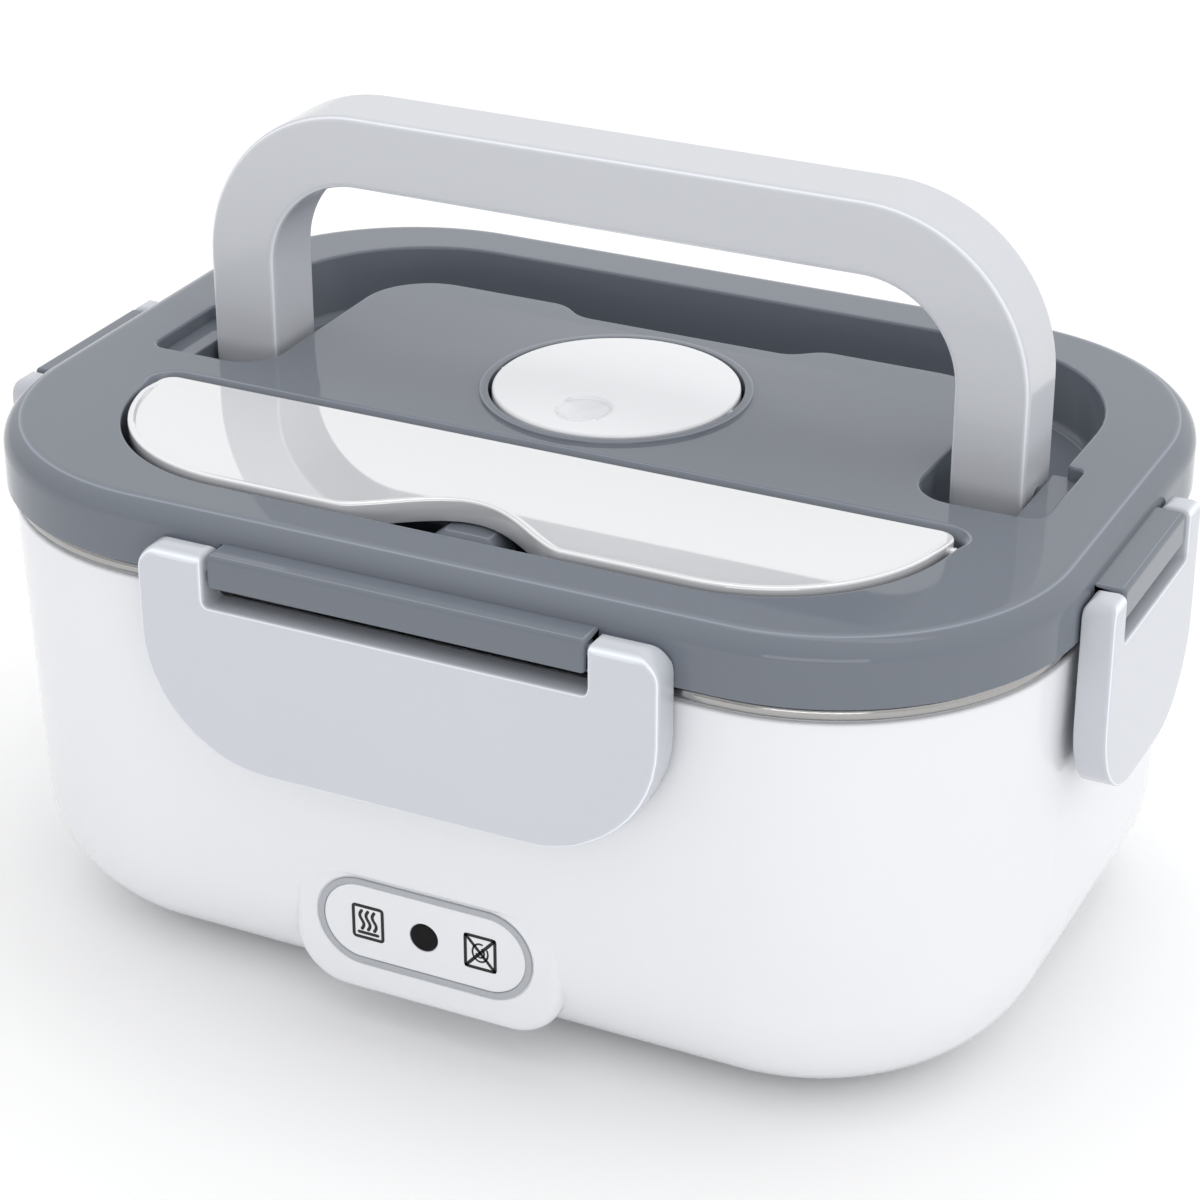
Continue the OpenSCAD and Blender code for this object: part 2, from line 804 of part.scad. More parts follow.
// U-shaped trough for the folded handle: two arms round the deck, each wider
// in front of its pivot
module trough_flat() {
    difference() {
        union() {
            rounded_flat(cx - cheek_in, cy, trough_r);
            for (s = [0, 1])
                mirror([s, 0])
                    translate([cx, trough_front]) square([trough_r, cheek_y - trough_front]);
        }
        deck_flat(0);
        for (s = [0, 1])
            mirror([s, 0]) {
                translate([deck_half, trough_front]) fillet_flat(slot_r);
                translate([cx + trough_r, trough_front]) mirror([1, 0]) fillet_flat(slot_outer_r);
                translate([cx + trough_r, cheek_y]) rotate(180) fillet_flat(step_r);
            }
    }
}

// Fills a corner at the origin with a rounding of radius r
module fillet_flat(r) {
    difference() {
        square(r);
        translate([r, r]) circle(r);
    }
}

// Half-moon plan of the cover, or grown by g for its compartment
module moon_flat(g) {
    translate([-cover_mid_x, cover_front - g])
        square([2 * cover_mid_x, cover_rear - cover_front + 2 * g]);
    for (s = [0, 1])
        mirror([s, 0]) {
            difference() {
                translate([cover_mid_x, cover_mid_y])
                    square([cover_r + g, cover_rear - cover_mid_y + g]);
                translate([cover_half + g, cover_rear + g])
                    rotate(180) fillet_flat(cover_corner + g);
            }
            translate([cover_mid_x, cover_mid_y]) rotate(-90) quarter(cover_r + g);
        }
}

// Soft-sided notch at the middle of the cover's front edge, or the notch with
// its edge moved out, for the skirt behind it
module notch_flat(out) {
    n = 36;
    w = notch_w + 2 * out;
    polygon([for (i = [0:n])
                 let (a = 360 * (i / n - 0.5))
                     [w * a / 360, cover_front + (notch_dep + out) * (1 + cos(a)) / 2],
             [w / 2, cover_front - 5],
             [-w / 2, cover_front - 5]]);
}

// Rail along one side of the lid that carries a latch's pin
module hinge_bar(k) {
    half = side_w(k) - side_e(k) - 0.5;
    e = 1.2;
    on_side(k)
        rotate([90, 0, 90])
            translate([0, 0, -half])
                linear_extrude(2 * half) {
                    translate([-2.6, -3.9]) square([hinge_out + 2.6 + 1.5, 7.1 - e]);
                    translate([-2.6 + e, 3.2 - e]) square([hinge_out + 4.1 - e, e]);
                    translate([-2.6 + e, 3.2 - e]) rotate(90) quarter(e);
                }
}

module lid_rim_section() {
    difference() {
        union() {
            translate([0, lid_top - lid_edge_r]) square([corner_r - lid_edge_r, lid_edge_r]);
            translate([corner_r - lid_edge_r, lid_top - lid_edge_r]) quarter(lid_edge_r);
            translate([0, lid_low]) square([corner_r, lid_h - lid_edge_r]);
            translate([0, trough_under]) square([trough_r + lid_wall, lid_low - trough_under]);
        }
        translate([trough_r + lid_wall, lid_low - 1])
            square([corner_r - lid_wall - trough_r - lid_wall, deck_low - inner_r - lid_low + 1]);
        translate([trough_r + lid_wall, deck_low - inner_r])
            square([corner_r - lid_wall - trough_r - lid_wall - inner_r, inner_r]);
        translate([corner_r - lid_wall - inner_r, deck_low - inner_r]) quarter(inner_r);
    }
    // rib that bears on the gasket carrier
    translate([trough_r + lid_wall + rib_in, shelf_z + carrier_t])
        square([rib_w, deck_low - shelf_z - carrier_t]);
}

module lid_shell() {
    color("slategray")
    difference() {
        union() {
            difference() {
                union() {
                    around(cx, cy) lid_rim_section();
                    middle(trough_under, lid_top);
                }
                translate([0, 0, trough_floor]) linear_extrude(far) trough_flat();
                // hollow under the deck
                translate([0, 0, trough_under - 1])
                    linear_extrude(deck_low - trough_under + 1)
                        intersection() {
                            rounded_flat(cx, cy, trough_r - 0.01);
                            deck_flat(lid_wall);
                        }
            }
            // walls of the cutlery compartment and the vent's recess
            translate([0, 0, pocket_floor - lid_wall])
                linear_extrude(deck_low - pocket_floor + lid_wall)
                    intersection() {
                        moon_flat(cover_gap + lid_wall);
                        rounded_flat(cx, cy, trough_r + lid_wall);
                    }
            translate([0, vent_y, vent_floor - lid_wall])
                cylinder(r = vent_r + vent_gap + lid_wall, h = deck_low - vent_floor + lid_wall);
            // collar round the vent cap
            translate([0, vent_y, deck_low])
                cylinder(r = vent_r + vent_gap + vent_rim_w, h = lid_top - deck_low + vent_rim_h);
            for (k = [0:3]) hinge_bar(k);
            // bosses that carry the handle's pins
            for (s = [-1, 1])
                translate([0, handle_y, handle_z])
                    rod_x(pin_boss, s > 0 ? handle_half + fit : -cx - trough_r - 1,
                          s > 0 ? cx + trough_r + 1 : -handle_half - fit);
            // bosses for the screws of the inner cover
            for (p = lid_screw_at)
                translate([p[0], p[1], carrier_low + carrier_t])
                    cylinder(d = screw_boss - 1, h = deck_low - carrier_low - carrier_t);
        }
        translate([0, 0, pocket_floor]) linear_extrude(far) moon_flat(cover_gap);
        translate([0, vent_y, vent_floor]) cylinder(r = vent_r + vent_gap, h = far);
        // steam hole
        translate([0, vent_y + vent_hole_y, trough_under - 1]) cylinder(r = vent_hole, h = far);
        // pivots of the vent cap and the cutlery cover
        translate([0, vent_y, vent_pin_z])
            rod_x(vent_pin_r + seat, -vent_pin_end - fit, vent_pin_end + fit);
        translate([0, cover_pin_y, cover_pin_z])
            rod_x(cover_pin_r + seat, -cover_half - 3.2, cover_half + 3.2);
        for (s = [-1, 1])
            translate([0, handle_y, handle_z])
                rod_x(handle_pin / 2 + 0.02, s > 0 ? handle_half - 1 : -cx - trough_r - lid_wall - 1,
                      s > 0 ? cx + trough_r + lid_wall + 1 : -handle_half + 1);
        for (k = [0:3])
            on_side(k) rod_x(latch_pin / 2 + 0.02, -far / 4, far / 4);
        for (p = lid_screw_at)
            translate([p[0], p[1], 0]) cylinder(d = screw_d, h = carrier_low + lid_screw_len + 2);
    }
    color("slategray") cover_rest();
}

// Sloped block in the compartment that the cover's skirt comes down on
module cover_rest() {
    peak = cover_front + notch_dep;
    foot = pocket_floor - lid_wall / 2;
    intersection() {
        translate([-far / 2, 0, 0])
            rotate([90, 0, 90])
                linear_extrude(far)
                    polygon([[peak - rest_foot, foot], [peak - rest_lead, rest_top],
                             [peak + skirt_t, rest_top], [peak + skirt_t, foot]]);
        translate([0, cover_rear, 0])
            rotate([90, 0, 0])
                linear_extrude(far)
                    polygon([[-rest_w / 2 - 3.5, foot], [rest_w / 2 + 3.5, foot],
                             [rest_w / 2, rest_top], [-rest_w / 2, rest_top]]);
    }
}

// Cover under the lid, with the groove that holds the gasket
module lid_inner() {
    color("white")
    difference() {
        union() {
            around(cx, cy) {
                translate([0, carrier_low]) square([carrier_r, carrier_t]);
                translate([carrier_r, carrier_low])
                    square([skirt_w, shelf_z + carrier_t - carrier_low]);
                translate([carrier_r + skirt_w, shelf_z])
                    square([carrier_out - carrier_r - skirt_w, carrier_t]);
                for (r = [gasket_in - groove_wall, carrier_out - groove_wall])
                    translate([r, lid_low + fit]) square([groove_wall, shelf_z - lid_low - fit]);
            }
            middle(carrier_low, carrier_low + carrier_t);
        }
        translate([0, vent_y + vent_hole_y, 0]) cylinder(r = vent_hole, h = far);
        for (p = lid_screw_at)
            translate([p[0], p[1], 0]) {
                cylinder(d = screw_d + screw_play, h = far);
                cylinder(d = head_d + screw_play, h = carrier_low + carrier_t / 2);
            }
    }
}

module lid_gasket() {
    color("white")
    around(cx, cy)
        translate([gasket_in + 0.1, rim_top + fit])
            square([carrier_out - groove_wall - gasket_in - 0.2, shelf_z - rim_top - fit]);
}

module lid_screws() {
    color("silver")
    for (p = lid_screw_at)
        translate([p[0], p[1], carrier_low + carrier_t / 2]) screw(lid_screw_len);
}

// ---- handle ----

// Section of the bail, from the corner centre out
module handle_section() {
    translate([handle_r - handle_bar / 2, 0])
        for (s = [0, 1])
            mirror([s, 0]) nose_section(handle_bar / 2, handle_t, handle_edge);
}

module handle() {
    hx = handle_half - handle_r;
    hz = handle_top - handle_r;
    color("lightgray")
    translate([0, handle_y, 0])
        difference() {
            rotate([90, 0, 0]) {
                translate([hx, hz, 0]) rotate_extrude(angle = 90) handle_section();
                translate([-hx, hz, 0]) rotate([0, 0, 90]) rotate_extrude(angle = 90) handle_section();
                translate([-hx, hz, 0]) rotate([0, 0, 90]) rotate([90, 0, 0])
                    linear_extrude(2 * hx) handle_section();
                for (s = [0, 1])
                    mirror([s, 0, 0]) {
                        translate([hx, hz, 0]) rotate([90, 0, 0])
                            linear_extrude(hz - handle_z) handle_section();
                        translate([0, handle_z, 0]) leg_end();
                    }
            }
            for (s = [0, 1])
                mirror([s, 0, 0])
                    translate([0, 0, handle_z])
                        rod_x(handle_pin / 2 + seat, handle_half - handle_bar + 3, handle_half + 1);
        }
}

// Round lower end of a leg, about the pivot
module leg_end() {
    mid = handle_half - handle_bar / 2;
    translate([mid, 0, 0])
        rotate([0, 90, 0])
            rotate([0, 0, 180])
                for (s = [0, 1])
                    mirror([0, 0, s])
                        rotate_extrude(angle = 180)
                            rotate(90) mirror([0, 1])
                                intersection() {
                                    nose_section(handle_bar / 2, handle_t, handle_edge);
                                    square(far);
                                }
}

module handle_pins() {
    color("silver")
    for (s = [0, 1])
        mirror([s, 0, 0])
            translate([0, handle_y, handle_z])
                rod_x(handle_pin / 2, handle_half - handle_bar + 3.3, cx + trough_r + lid_wall);
}

// ---- cutlery cover and vent ----

module cutlery_cover() {
    color("white")
    difference() {
        union() {
            translate([0, 0, cover_low]) linear_extrude(cover_t) moon_flat(0);
            // raised lip along the front
            translate([0, 0, cover_top])
                linear_extrude(0.8)
                    difference() {
                        moon_flat(0);
                        moon_flat(-1.6);
                        translate([-far / 2, cover_mid_y]) square([far, far]);
                    }
            for (s = [0, 1])
                mirror([s, 0, 0])
                    translate([0, cover_pin_y, cover_pin_z])
                        rod_x(cover_pin_r, cover_half - 1, cover_half + 3);
        }
        translate([0, 0, cover_low - 1]) linear_extrude(far) notch_flat(0);
    }
    // skirt along the notch, for a fingertip to pull on
    translate([0, 0, cover_low - skirt_dep])
        linear_extrude(skirt_dep)
            intersection() {
                moon_flat(0);
                difference() {
                    notch_flat(skirt_t);
                    notch_flat(0);
                }
            }
}

module vent_cap() {
    dome = (vent_r * vent_r + vent_dome * vent_dome) / (2 * vent_dome);
    color("white")
    translate([0, vent_y, 0])
        difference() {
            union() {
                translate([0, 0, vent_low]) cylinder(r = vent_r, h = vent_edge - vent_low);
                rotate_extrude()
                    intersection() {
                        translate([0, vent_edge + vent_dome - dome]) circle(dome, $fn = 720);
                        translate([0, vent_edge]) square([vent_r, 2 * vent_dome]);
                    }
                for (s = [0, 1])
                    mirror([s, 0, 0])
                        translate([0, 0, vent_pin_z]) rod_x(vent_pin_r, vent_r - 1, vent_pin_end);
            }
            translate([0, -dimple_y, dimple_z]) sphere(dimple_ball);
        }
}

module vent_seal() {
    color("gainsboro")
    translate([0, vent_y + vent_hole_y, 0]) {
        translate([0, 0, vent_floor + 0.2]) cylinder(r = vent_hole + 1.2, h = 1.8);
        translate([0, 0, vent_floor + 2]) cylinder(r = vent_hole - 0.5, h = vent_low - vent_floor - 2);
    }
}

// ---- latches ----

// Section of a latch from the corner centre out: front plate, side flange and
// a rounded front corner. y is the distance out from the hinge line.
module latch_section(r) {
    e = 2;
    translate([0, ear_r - latch_t]) square([r - e, latch_t]);
    translate([r - latch_t, -ear_r]) square([latch_t, 2 * ear_r - e]);
    translate([r - e, ear_r - e]) quarter(e);
}

// Latch about its hinge line: X along the hinge, Z up, front towards -Y
module latch(half, r, ear) {
    hx = half - r;
    hz = -latch_drop + r;
    e = 2;
    difference() {
        union() {
            rotate([90, 0, 0]) {
                for (s = [0, 1])
                    mirror([s, 0, 0]) {
                        translate([hx, hz, 0]) rotate([0, 0, -90])
                            rotate_extrude(angle = 90) latch_section(r);
                        translate([hx, 0, 0]) rotate([90, 0, 0])
                            linear_extrude(-hz) latch_section(r);
                        // ear, solid from front to back
                        translate([half - ear, 0, 0]) rotate([90, 0, 0])
                            linear_extrude(notch_drop) nose_section(ear, 2 * ear_r, e);
                        translate([half - ear, 0, 0]) rotate([0, 90, 0])
                            rotate_extrude(angle = 180)
                                rotate(90) mirror([0, 1])
                                    intersection() {
                                        nose_section(ear, 2 * ear_r, e);
                                        square(far);
                                    }
                    }
                translate([hx, hz, 0]) rotate([0, 0, -90]) rotate([90, 0, 0])
                    linear_extrude(2 * hx) latch_section(r);
                translate([-hx, hz, ear_r - latch_t]) cube([2 * hx, -hz, latch_t]);
            }
            hook(half - ear - 12);
        }
        translate([-half + ear, -far / 2, -notch_drop]) cube([2 * (half - ear), far, far]);
        rod_x(latch_pin / 2 + seat, -half + ear / 3, half - ear / 3);
    }
}

// Catch inside the latch. Its upper face runs parallel to the rail's
// underside, fit below it.
module hook(half) {
    root = ear_r - latch_t + 0.4;
    top = catch_z - (fit + 0.1) * sqrt(1 + rib_slope * rib_slope);
    tip_z = top - (hook_in - catch_in) * rib_slope;
    rotate([90, 0, 90])
        translate([0, 0, -half])
            linear_extrude(2 * half)
                polygon([[-root, top + (root + catch_in) * rib_slope],
                         [hook_in, tip_z],
                         [hook_in, tip_z - 1.2],
                         [-root, tip_z - 4.6]]);
}

module latch_of(k) {
    color("lightsteelblue")
    on_side(k) latch(side_w(k), k % 2 == 0 ? front_corner : side_corner, side_e(k));
}

module latch_pin_of(k) {
    color("silver")
    on_side(k)
        rod_x(latch_pin / 2, -side_w(k) + side_e(k) / 3 + fit, side_w(k) - side_e(k) / 3 - fit);
}

module front_latch() { latch_of(0); }
module right_latch() { latch_of(1); }
module rear_latch() { latch_of(2); }
module left_latch() { latch_of(3); }
module front_latch_pin() { latch_pin_of(0); }
module right_latch_pin() { latch_pin_of(1); }
module rear_latch_pin() { latch_pin_of(2); }
module left_latch_pin() { latch_pin_of(3); }

outer_housing();
inner_liner();
base_plate();
base_screws();
rubber_feet();
heating_plate();
ptc_heater();
heater_clamp();
clamp_screws();
thermostat();
thermal_fuse();
ac_inlet();
inlet_pins();
panel_ring();
panel_plate();
led_lens();
led_board();
steel_container();
lid_shell();
lid_inner();
lid_gasket();
lid_screws();
handle();
handle_pins();
cutlery_cover();
vent_cap();
vent_seal();
front_latch();
right_latch();
rear_latch();
left_latch();
front_latch_pin();
right_latch_pin();
rear_latch_pin();
left_latch_pin();
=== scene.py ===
"""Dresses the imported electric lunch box: mouldings, steel, panel, finishes, studio and camera.

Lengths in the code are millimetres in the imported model's frame, and become metres when a mesh is made.
"""
import math

import bmesh
import bpy
import numpy as np
from bpy.props import FloatProperty, FloatVectorProperty, PointerProperty
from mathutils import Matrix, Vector
from mathutils.geometry import tessellate_polygon


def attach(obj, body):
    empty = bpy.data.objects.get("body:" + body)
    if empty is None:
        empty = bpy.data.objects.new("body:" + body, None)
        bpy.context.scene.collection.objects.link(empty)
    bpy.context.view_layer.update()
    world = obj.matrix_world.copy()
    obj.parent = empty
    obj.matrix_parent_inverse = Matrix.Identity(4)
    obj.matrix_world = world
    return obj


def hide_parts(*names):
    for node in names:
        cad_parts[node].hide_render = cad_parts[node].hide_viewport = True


bl_info = {
    "name": "Electric lunch box",
    "version": (1, 0, 0),
    "blender": (4, 5, 0),
    "location": "3D View > Sidebar > Lunch box",
    "description": "Builds the visible pieces and finishes of a packed electric lunch box",
    "category": "Object",
}

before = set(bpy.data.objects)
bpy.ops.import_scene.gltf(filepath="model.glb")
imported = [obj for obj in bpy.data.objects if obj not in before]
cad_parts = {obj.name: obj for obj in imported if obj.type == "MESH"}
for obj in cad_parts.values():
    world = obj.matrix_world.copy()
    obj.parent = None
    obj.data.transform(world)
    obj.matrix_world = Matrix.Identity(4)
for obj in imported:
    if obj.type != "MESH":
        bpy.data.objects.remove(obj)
MM = 0.001
SHARP = math.radians(35)         # faces that meet at more than this keep a crisp edge
BUMP_HEIGHT = 0.00002            # metres, of the waviness and the grain
DOUBLES = 1e-6                   # points of a mesh that are nearer than this are one


# ---- places and sizes of the pieces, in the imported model's frame ----

CORNER = 54.0                    # plan radius of the lid
CX, CY = 65.0, 31.5              # centres of the four corners
WALL = 2.2
LID_Z, LID_TOP = 99.4, 113.0     # lower and upper edge of the lid
LID_UNDER = 95.6                 # underside of the trough
DECK_LOW = 110.8                 # underside of the lid's top
HOLLOW_R = 40.5                  # where the hollow inside the lid's side starts
TROUGH_R = 38.3
TROUGH_FLOOR = 97.6
TROUGH_HALF = CX + TROUGH_R      # outer walls of the trough
TROUGH_REAR = CY + TROUGH_R
CHEEK, CHEEK_Y = 4.0, 12.6       # step of those walls behind the pivots
TROUGH_FRONT = -14.0
LEDGE_TOP = 109.8                # ledges between the handle's legs and the trough's outer walls
DECK_HALF, DECK_REAR, DECK_R = 75.0, 47.5, 16.0
RECESS_HALF, RECESS_DEP = 25.5, 5.0  # finger recess in the deck's rear edge
HANDLE_Y, HANDLE_Z, HANDLE_TOP = 7.6, 107.0, 168.0
HANDLE_HALF, HANDLE_BAR, HANDLE_T, HANDLE_R = 95.0, 16.0, 17.2, 37.0
COVER_HALF, COVER_FRONT, COVER_REAR, COVER_R = 91.0, -69.5, -27.0, 38.5
COVER_TOP, COVER_LOW, SKIRT = 113.2, 110.6, 1.7
COVER_LIP, LIP_EDGE = 0.8, 0.55  # rise of the lip along the cover's front, rounding of its outer edge
COVER_GAP = 1.4                  # between the cover and its opening
COVER_CORNER, OPENING_CORNER = 3.6, 5.0  # rear corners of the cover and of its opening
COVER_PIN, COVER_PIN_R = (COVER_REAR - 4.5, COVER_TOP - 2.4), 1.3  # the cover's stub pivots, (y, z)
NOTCH = (50.0, 12.5)             # width and depth of the finger notch
POCKET_FLOOR = 101.0
REST_HALF, REST_TAPER = 12.5, 3.0  # half width of the block under the skirt, narrower at its top
REST_SLOPE = (-8.4, -3.2)        # where its slope starts and ends, from the notch's deepest point
VENT_Y, VENT_R, VENT_HOLE_R, VENT_FLOOR = 8.1, 26.7, 27.5, 104.5
VENT_LOW, VENT_EDGE, VENT_DOME = 111.4, 114.1, 1.4
VENT_ROUND = 0.7                 # rounding of the cap's rim
VENT_PIN_Z, VENT_PIN_R = 112.25, 1.0
COLLAR_R, COLLAR_H = 29.5, 0.8   # raised collar round the vent cap
DIMPLE_Y, DIMPLE_R, DIMPLE_BALL = 15.9, 6.2, 10.0  # place, plan radius and ball radius of the press dimple
STEAM_Y, STEAM_R = 15.0, 3.5
HINGE_Z = 105.4                  # hinge line of the latches
HINGE_Y, HINGE_X = 89.2, 122.7
SIDE_Y = -8.0
# sections across a side, as (outwards, up) from the hinge line
HINGE_BAR = ((-4.6, -3.9), (2.6, -3.9), (2.6, 3.2), (-4.6, 3.2))
RAIL = ((-2.4, -20.1), (-2.4, -18.3), (-6.9, -15.5), (-6.9, -24.13))
HOOK = ((1.4, -27.03), (-4.4, -23.63), (-4.4, -22.43), (1.4, -17.23))
SIDES = ("front", "right", "rear", "left")
# sizes in pairs: front and rear latch, side latches
SIDE_HALF, SIDE_EAR, LATCH_CORNER, EAR_CORNER = (57.0, 28.0), (15.0, 7.6), (28.0, 20.0), (6.0, 3.8)
EAR_R, LATCH_T = 3.4, 2.4        # the ears reach this far round the hinge line, the plate is this thick
LATCH_DROP, NOTCH_DROP = 43.4, 7.9  # lower edges of the latch and of its notch, below the hinge line
EAR_EASE, NOTCH_EASE, BACK_EASE = 1.8, 0.7, 0.3  # roundings over the ears, in the notch and behind
EAR_SWING = 3.6                  # largest distance of an ear's skin from the hinge line
BODY_R, BODY_LOW_R, BODY_TOP = 52.4, 50.2, 95.5
BODY_FOOT, BODY_EDGE, BODY_WALL = 1.5, 28.0, 2.4
HATCH_R, HATCH_SEAT = 22.25, 3.8  # bottom opening that the bottom cover fills
HATCH_RIM = 10.0                 # width of the seat that the bottom cover lies against
POD_ROOT, FACE_Y = 40.0, 82.3    # the pods run from inside the body to this distance from the middle
POD, INLET_POD, POD_R, POD_EDGE = ((-31, 9), (31, 42)), ((-18, 10.5), (18, 41.5)), 12.0, 2.4
POD_SINK = 1.4                   # how far the panel's pod sinks into the body at its upper edge
PANEL_Z, RING_LEN, RING_H, RING_W = 26.5, 49.6, 20.4, 1.5
RING_ROUND, RING_BACK = 0.3, 0.22  # rounding of the ring's edges, height of its back over the panel
PANEL_DEEP, LAMP_R = 1.6, 3.15
SIGN_X, SIGN_HALF, SIGN_R = 13.0, (3.75, 4.1), 0.9  # place, half size and corners of the printed signs
INLET = ((-11.5, 20.0), (11.5, 32.0))  # hole of the mains inlet
INLET_DEEP = 3.0
PAN_R, PAN_FLOOR, STEEL, RIM_TOP, RIM_H = 44.4, 43.8, 0.8, 99.0, 3.2
PAN_DRAFT, PAN_EDGE = 1.8, 10.0


# ---- outlines: closed curves in a plane, with their outward normals ----

def rounded(corners, radii, steps=8, guard=0.4):
    """Closed outline with round corners, counter-clockwise. Each corner becomes an arc of its radius that
    touches both sides; the normals turn along the arc. Before and after each arc comes a guard point on the
    straight side, at most a third of what the two arcs leave of it."""
    corners = np.asarray(corners, float)
    radii = np.broadcast_to(np.asarray(radii, float), (len(corners),))
    sides = np.roll(corners, -1, 0) - corners
    lengths = np.linalg.norm(sides, axis=1)
    ahead = sides / lengths[:, None]
    come = np.roll(ahead, 1, 0)
    turns = np.arctan2(come[:, 0] * ahead[:, 1] - come[:, 1] * ahead[:, 0], (come * ahead).sum(1))
    reach = radii * np.tan(np.abs(turns) / 2)
    left = lengths - reach - np.roll(reach, -1)
    guards = np.clip(left / 3, 0, guard)
    points, normals = [], []
    for i, (at, radius, turn, a, b) in enumerate(zip(corners, radii, turns, come, ahead)):
        side = math.copysign(1, turn)
        start = at - a * reach[i]
        out = np.array([a[1], -a[0]])
        centre = start - side * out * radius
        angles = np.linspace(0, turn, max(2, int(math.ceil(steps * abs(turn) / (math.pi / 2)))) + 1)
        cos, sin = np.cos(angles), np.sin(angles)
        arc = np.stack([cos * out[0] - sin * out[1], sin * out[0] + cos * out[1]], 1)
        last = arc[-1]
        points.append(np.vstack([start - a * guards[i - 1], centre + side * radius * arc,
                                 centre + side * radius * last + b * guards[i]]))
        normals.append(np.vstack([out, arc, last]))
    return np.vstack(points), np.vstack(normals)


def box_outline(low, high, radius, steps=8):
    """Rounded rectangle between two corners."""
    (x0, y0), (x1, y1) = low, high
    return rounded([(x0, y0), (x1, y0), (x1, y1), (x0, y1)], radius, steps)


def plan(radius):
    """Outline of the box at a distance from its four corner centres."""
    return box_outline((-CX - radius, -CY - radius), (CX + radius, CY + radius), radius, 28)


def disc(centre, radius, steps=64):
    """Circle as an outline: the centre plus the radius times each unit direction."""
    turn = np.linspace(0, 2 * np.pi, steps, endpoint=False)
    normals = np.stack([np.cos(turn), np.sin(turn)], 1)
    return np.asarray(centre) + radius * normals, normals


def profile_arc(centre, radius, start, end, steps):
    """Points of an arc in a profile, between two angles in degrees: the centre plus the radius times
    (cos t, sin t). Centre and radius may change from station to station."""
    turn = np.radians(np.linspace(start, end, steps + 1))
    return [(centre[0] + radius * math.cos(t), centre[1] + radius * math.sin(t)) for t in turn]


# ---- skins: grids and flat fills gathered into one mesh ----

class Skin:
    """Gathers grids of points and flat fills, and makes one closed mesh of them."""

    def __init__(self):
        self.points, self.faces, self.count = [], [], 0

    def add(self, points, faces):
        """Takes in points and the faces between them."""
        self.points.append(np.asarray(points, float).reshape(-1, 3))
        self.faces.extend((np.asarray(faces) + self.count).tolist())
        self.count += len(self.points[-1])

    def grid(self, points, loop=True):
        """Quads between neighbours of a (rows, stations, 3) array. A loop joins the last station to the
        first."""
        rows, stations = points.shape[:2]
        index = np.arange(rows * stations).reshape(rows, stations)
        if loop:
            index = np.hstack([index, index[:, :1]])
        quads = np.stack([index[:-1, :-1], index[:-1, 1:], index[1:, 1:], index[1:, :-1]], -1)
        self.add(points, quads.reshape(-1, 4))

    def fill(self, *loops):
        """Flat face inside the first loop and outside the others, cut into triangles."""
        loops = [np.asarray(loop, float) for loop in loops]
        triangles = tessellate_polygon([[Vector(p) for p in loop] for loop in loops])
        self.add(np.vstack(loops), triangles)

    def make(self, name):
        """One object at the origin, in metres, its doubles merged and its faces turned outwards."""
        mesh = bpy.data.meshes.new(name)
        mesh.from_pydata(np.vstack(self.points) * MM, [], self.faces)
        work = bmesh.new()
        work.from_mesh(mesh)
        bmesh.ops.remove_doubles(work, verts=work.verts, dist=DOUBLES)
        bmesh.ops.recalc_face_normals(work, faces=work.faces)
        for face in work.faces:
            face.smooth = True
        for edge in work.edges:
            edge.smooth = len(edge.link_faces) != 2 or edge.calc_face_angle(0) < SHARP
        work.to_mesh(mesh)
        work.free()
        piece = bpy.data.objects.new(name, mesh)
        bpy.context.collection.objects.link(piece)
        return piece


def upright(points, z):
    """Puts a flat outline at a height, or each of its points at its own."""
    points = np.asarray(points, float)
    return np.column_stack([points, np.full(len(points), z)])


def carry(outline, profile, place=None):
    """Rows of a profile carried along an outline: each profile point (out, up) is the outline moved by out
    along its normals, at the height up. Both may change from station to station."""
    points, normals = outline
    rows = np.array([upright(points + normals * np.broadcast_to(out, len(points))[:, None], up)
                     for out, up in profile])
    return place(rows) if place else rows


def around(profile):
    """Rows of a profile of (radius, height) carried round the box, from its four corner centres."""
    return carry(plan(BODY_R), [(radius - BODY_R, z) for radius, z in profile])


def block(skin, outline, low, high, edge=0.4, low_edge=None, place=None, guard=0.25, steps=4, open_end=False):
    """Straight piece between two heights, its ends rounded into its sides and closed by flat faces. Returns
    the outline of its upper face, which can be left open."""
    low_edge = edge if low_edge is None else low_edge
    profile = [(-low_edge - guard, low)]
    profile += profile_arc((-low_edge, low + low_edge), low_edge, -90, 0, steps)
    profile += [(0, low + low_edge + guard), (0, high - edge - guard)]
    profile += profile_arc((-edge, high - edge), edge, 0, 90, steps)
    profile += [(-edge - guard, high)]
    rows = carry(outline, profile, place)
    skin.grid(rows)
    skin.fill(rows[0])
    if not open_end:
        skin.fill(rows[-1])
    return rows[-1]


def close_round(skin, face, hole):
    """Closes a face that was left open, round a hole whose wall is given as rows, and the hole's floor."""
    skin.grid(hole)
    skin.fill(hole[-1])
    skin.fill(face, hole[0])


def stubs(skin, outline, start, end, edge):
    """Round pivots on both sides of a piece: an outline (y, z) run along x between two distances from the
    middle."""
    for side in (-1, 1):
        block(skin, outline, start, end, edge,
              place=lambda rows, side=side: np.stack([side * rows[..., 2], rows[..., 0], rows[..., 1]], -1))


def side_place(k):
    """Turns local points (x along a side, y outwards, z up from the hinge line) to side k of the box."""
    reach = HINGE_Y if k % 2 == 0 else HINGE_X
    turn = math.radians(90 * k)
    cos, sin = math.cos(turn), math.sin(turn)
    shift = SIDE_Y if k == 1 else -SIDE_Y if k == 3 else 0.0

    def place(rows):
        x = rows[..., 0] + shift
        y = -reach - rows[..., 1]
        return np.stack([cos * x - sin * y, sin * x + cos * y, rows[..., 2] + HINGE_Z], -1)
    return place


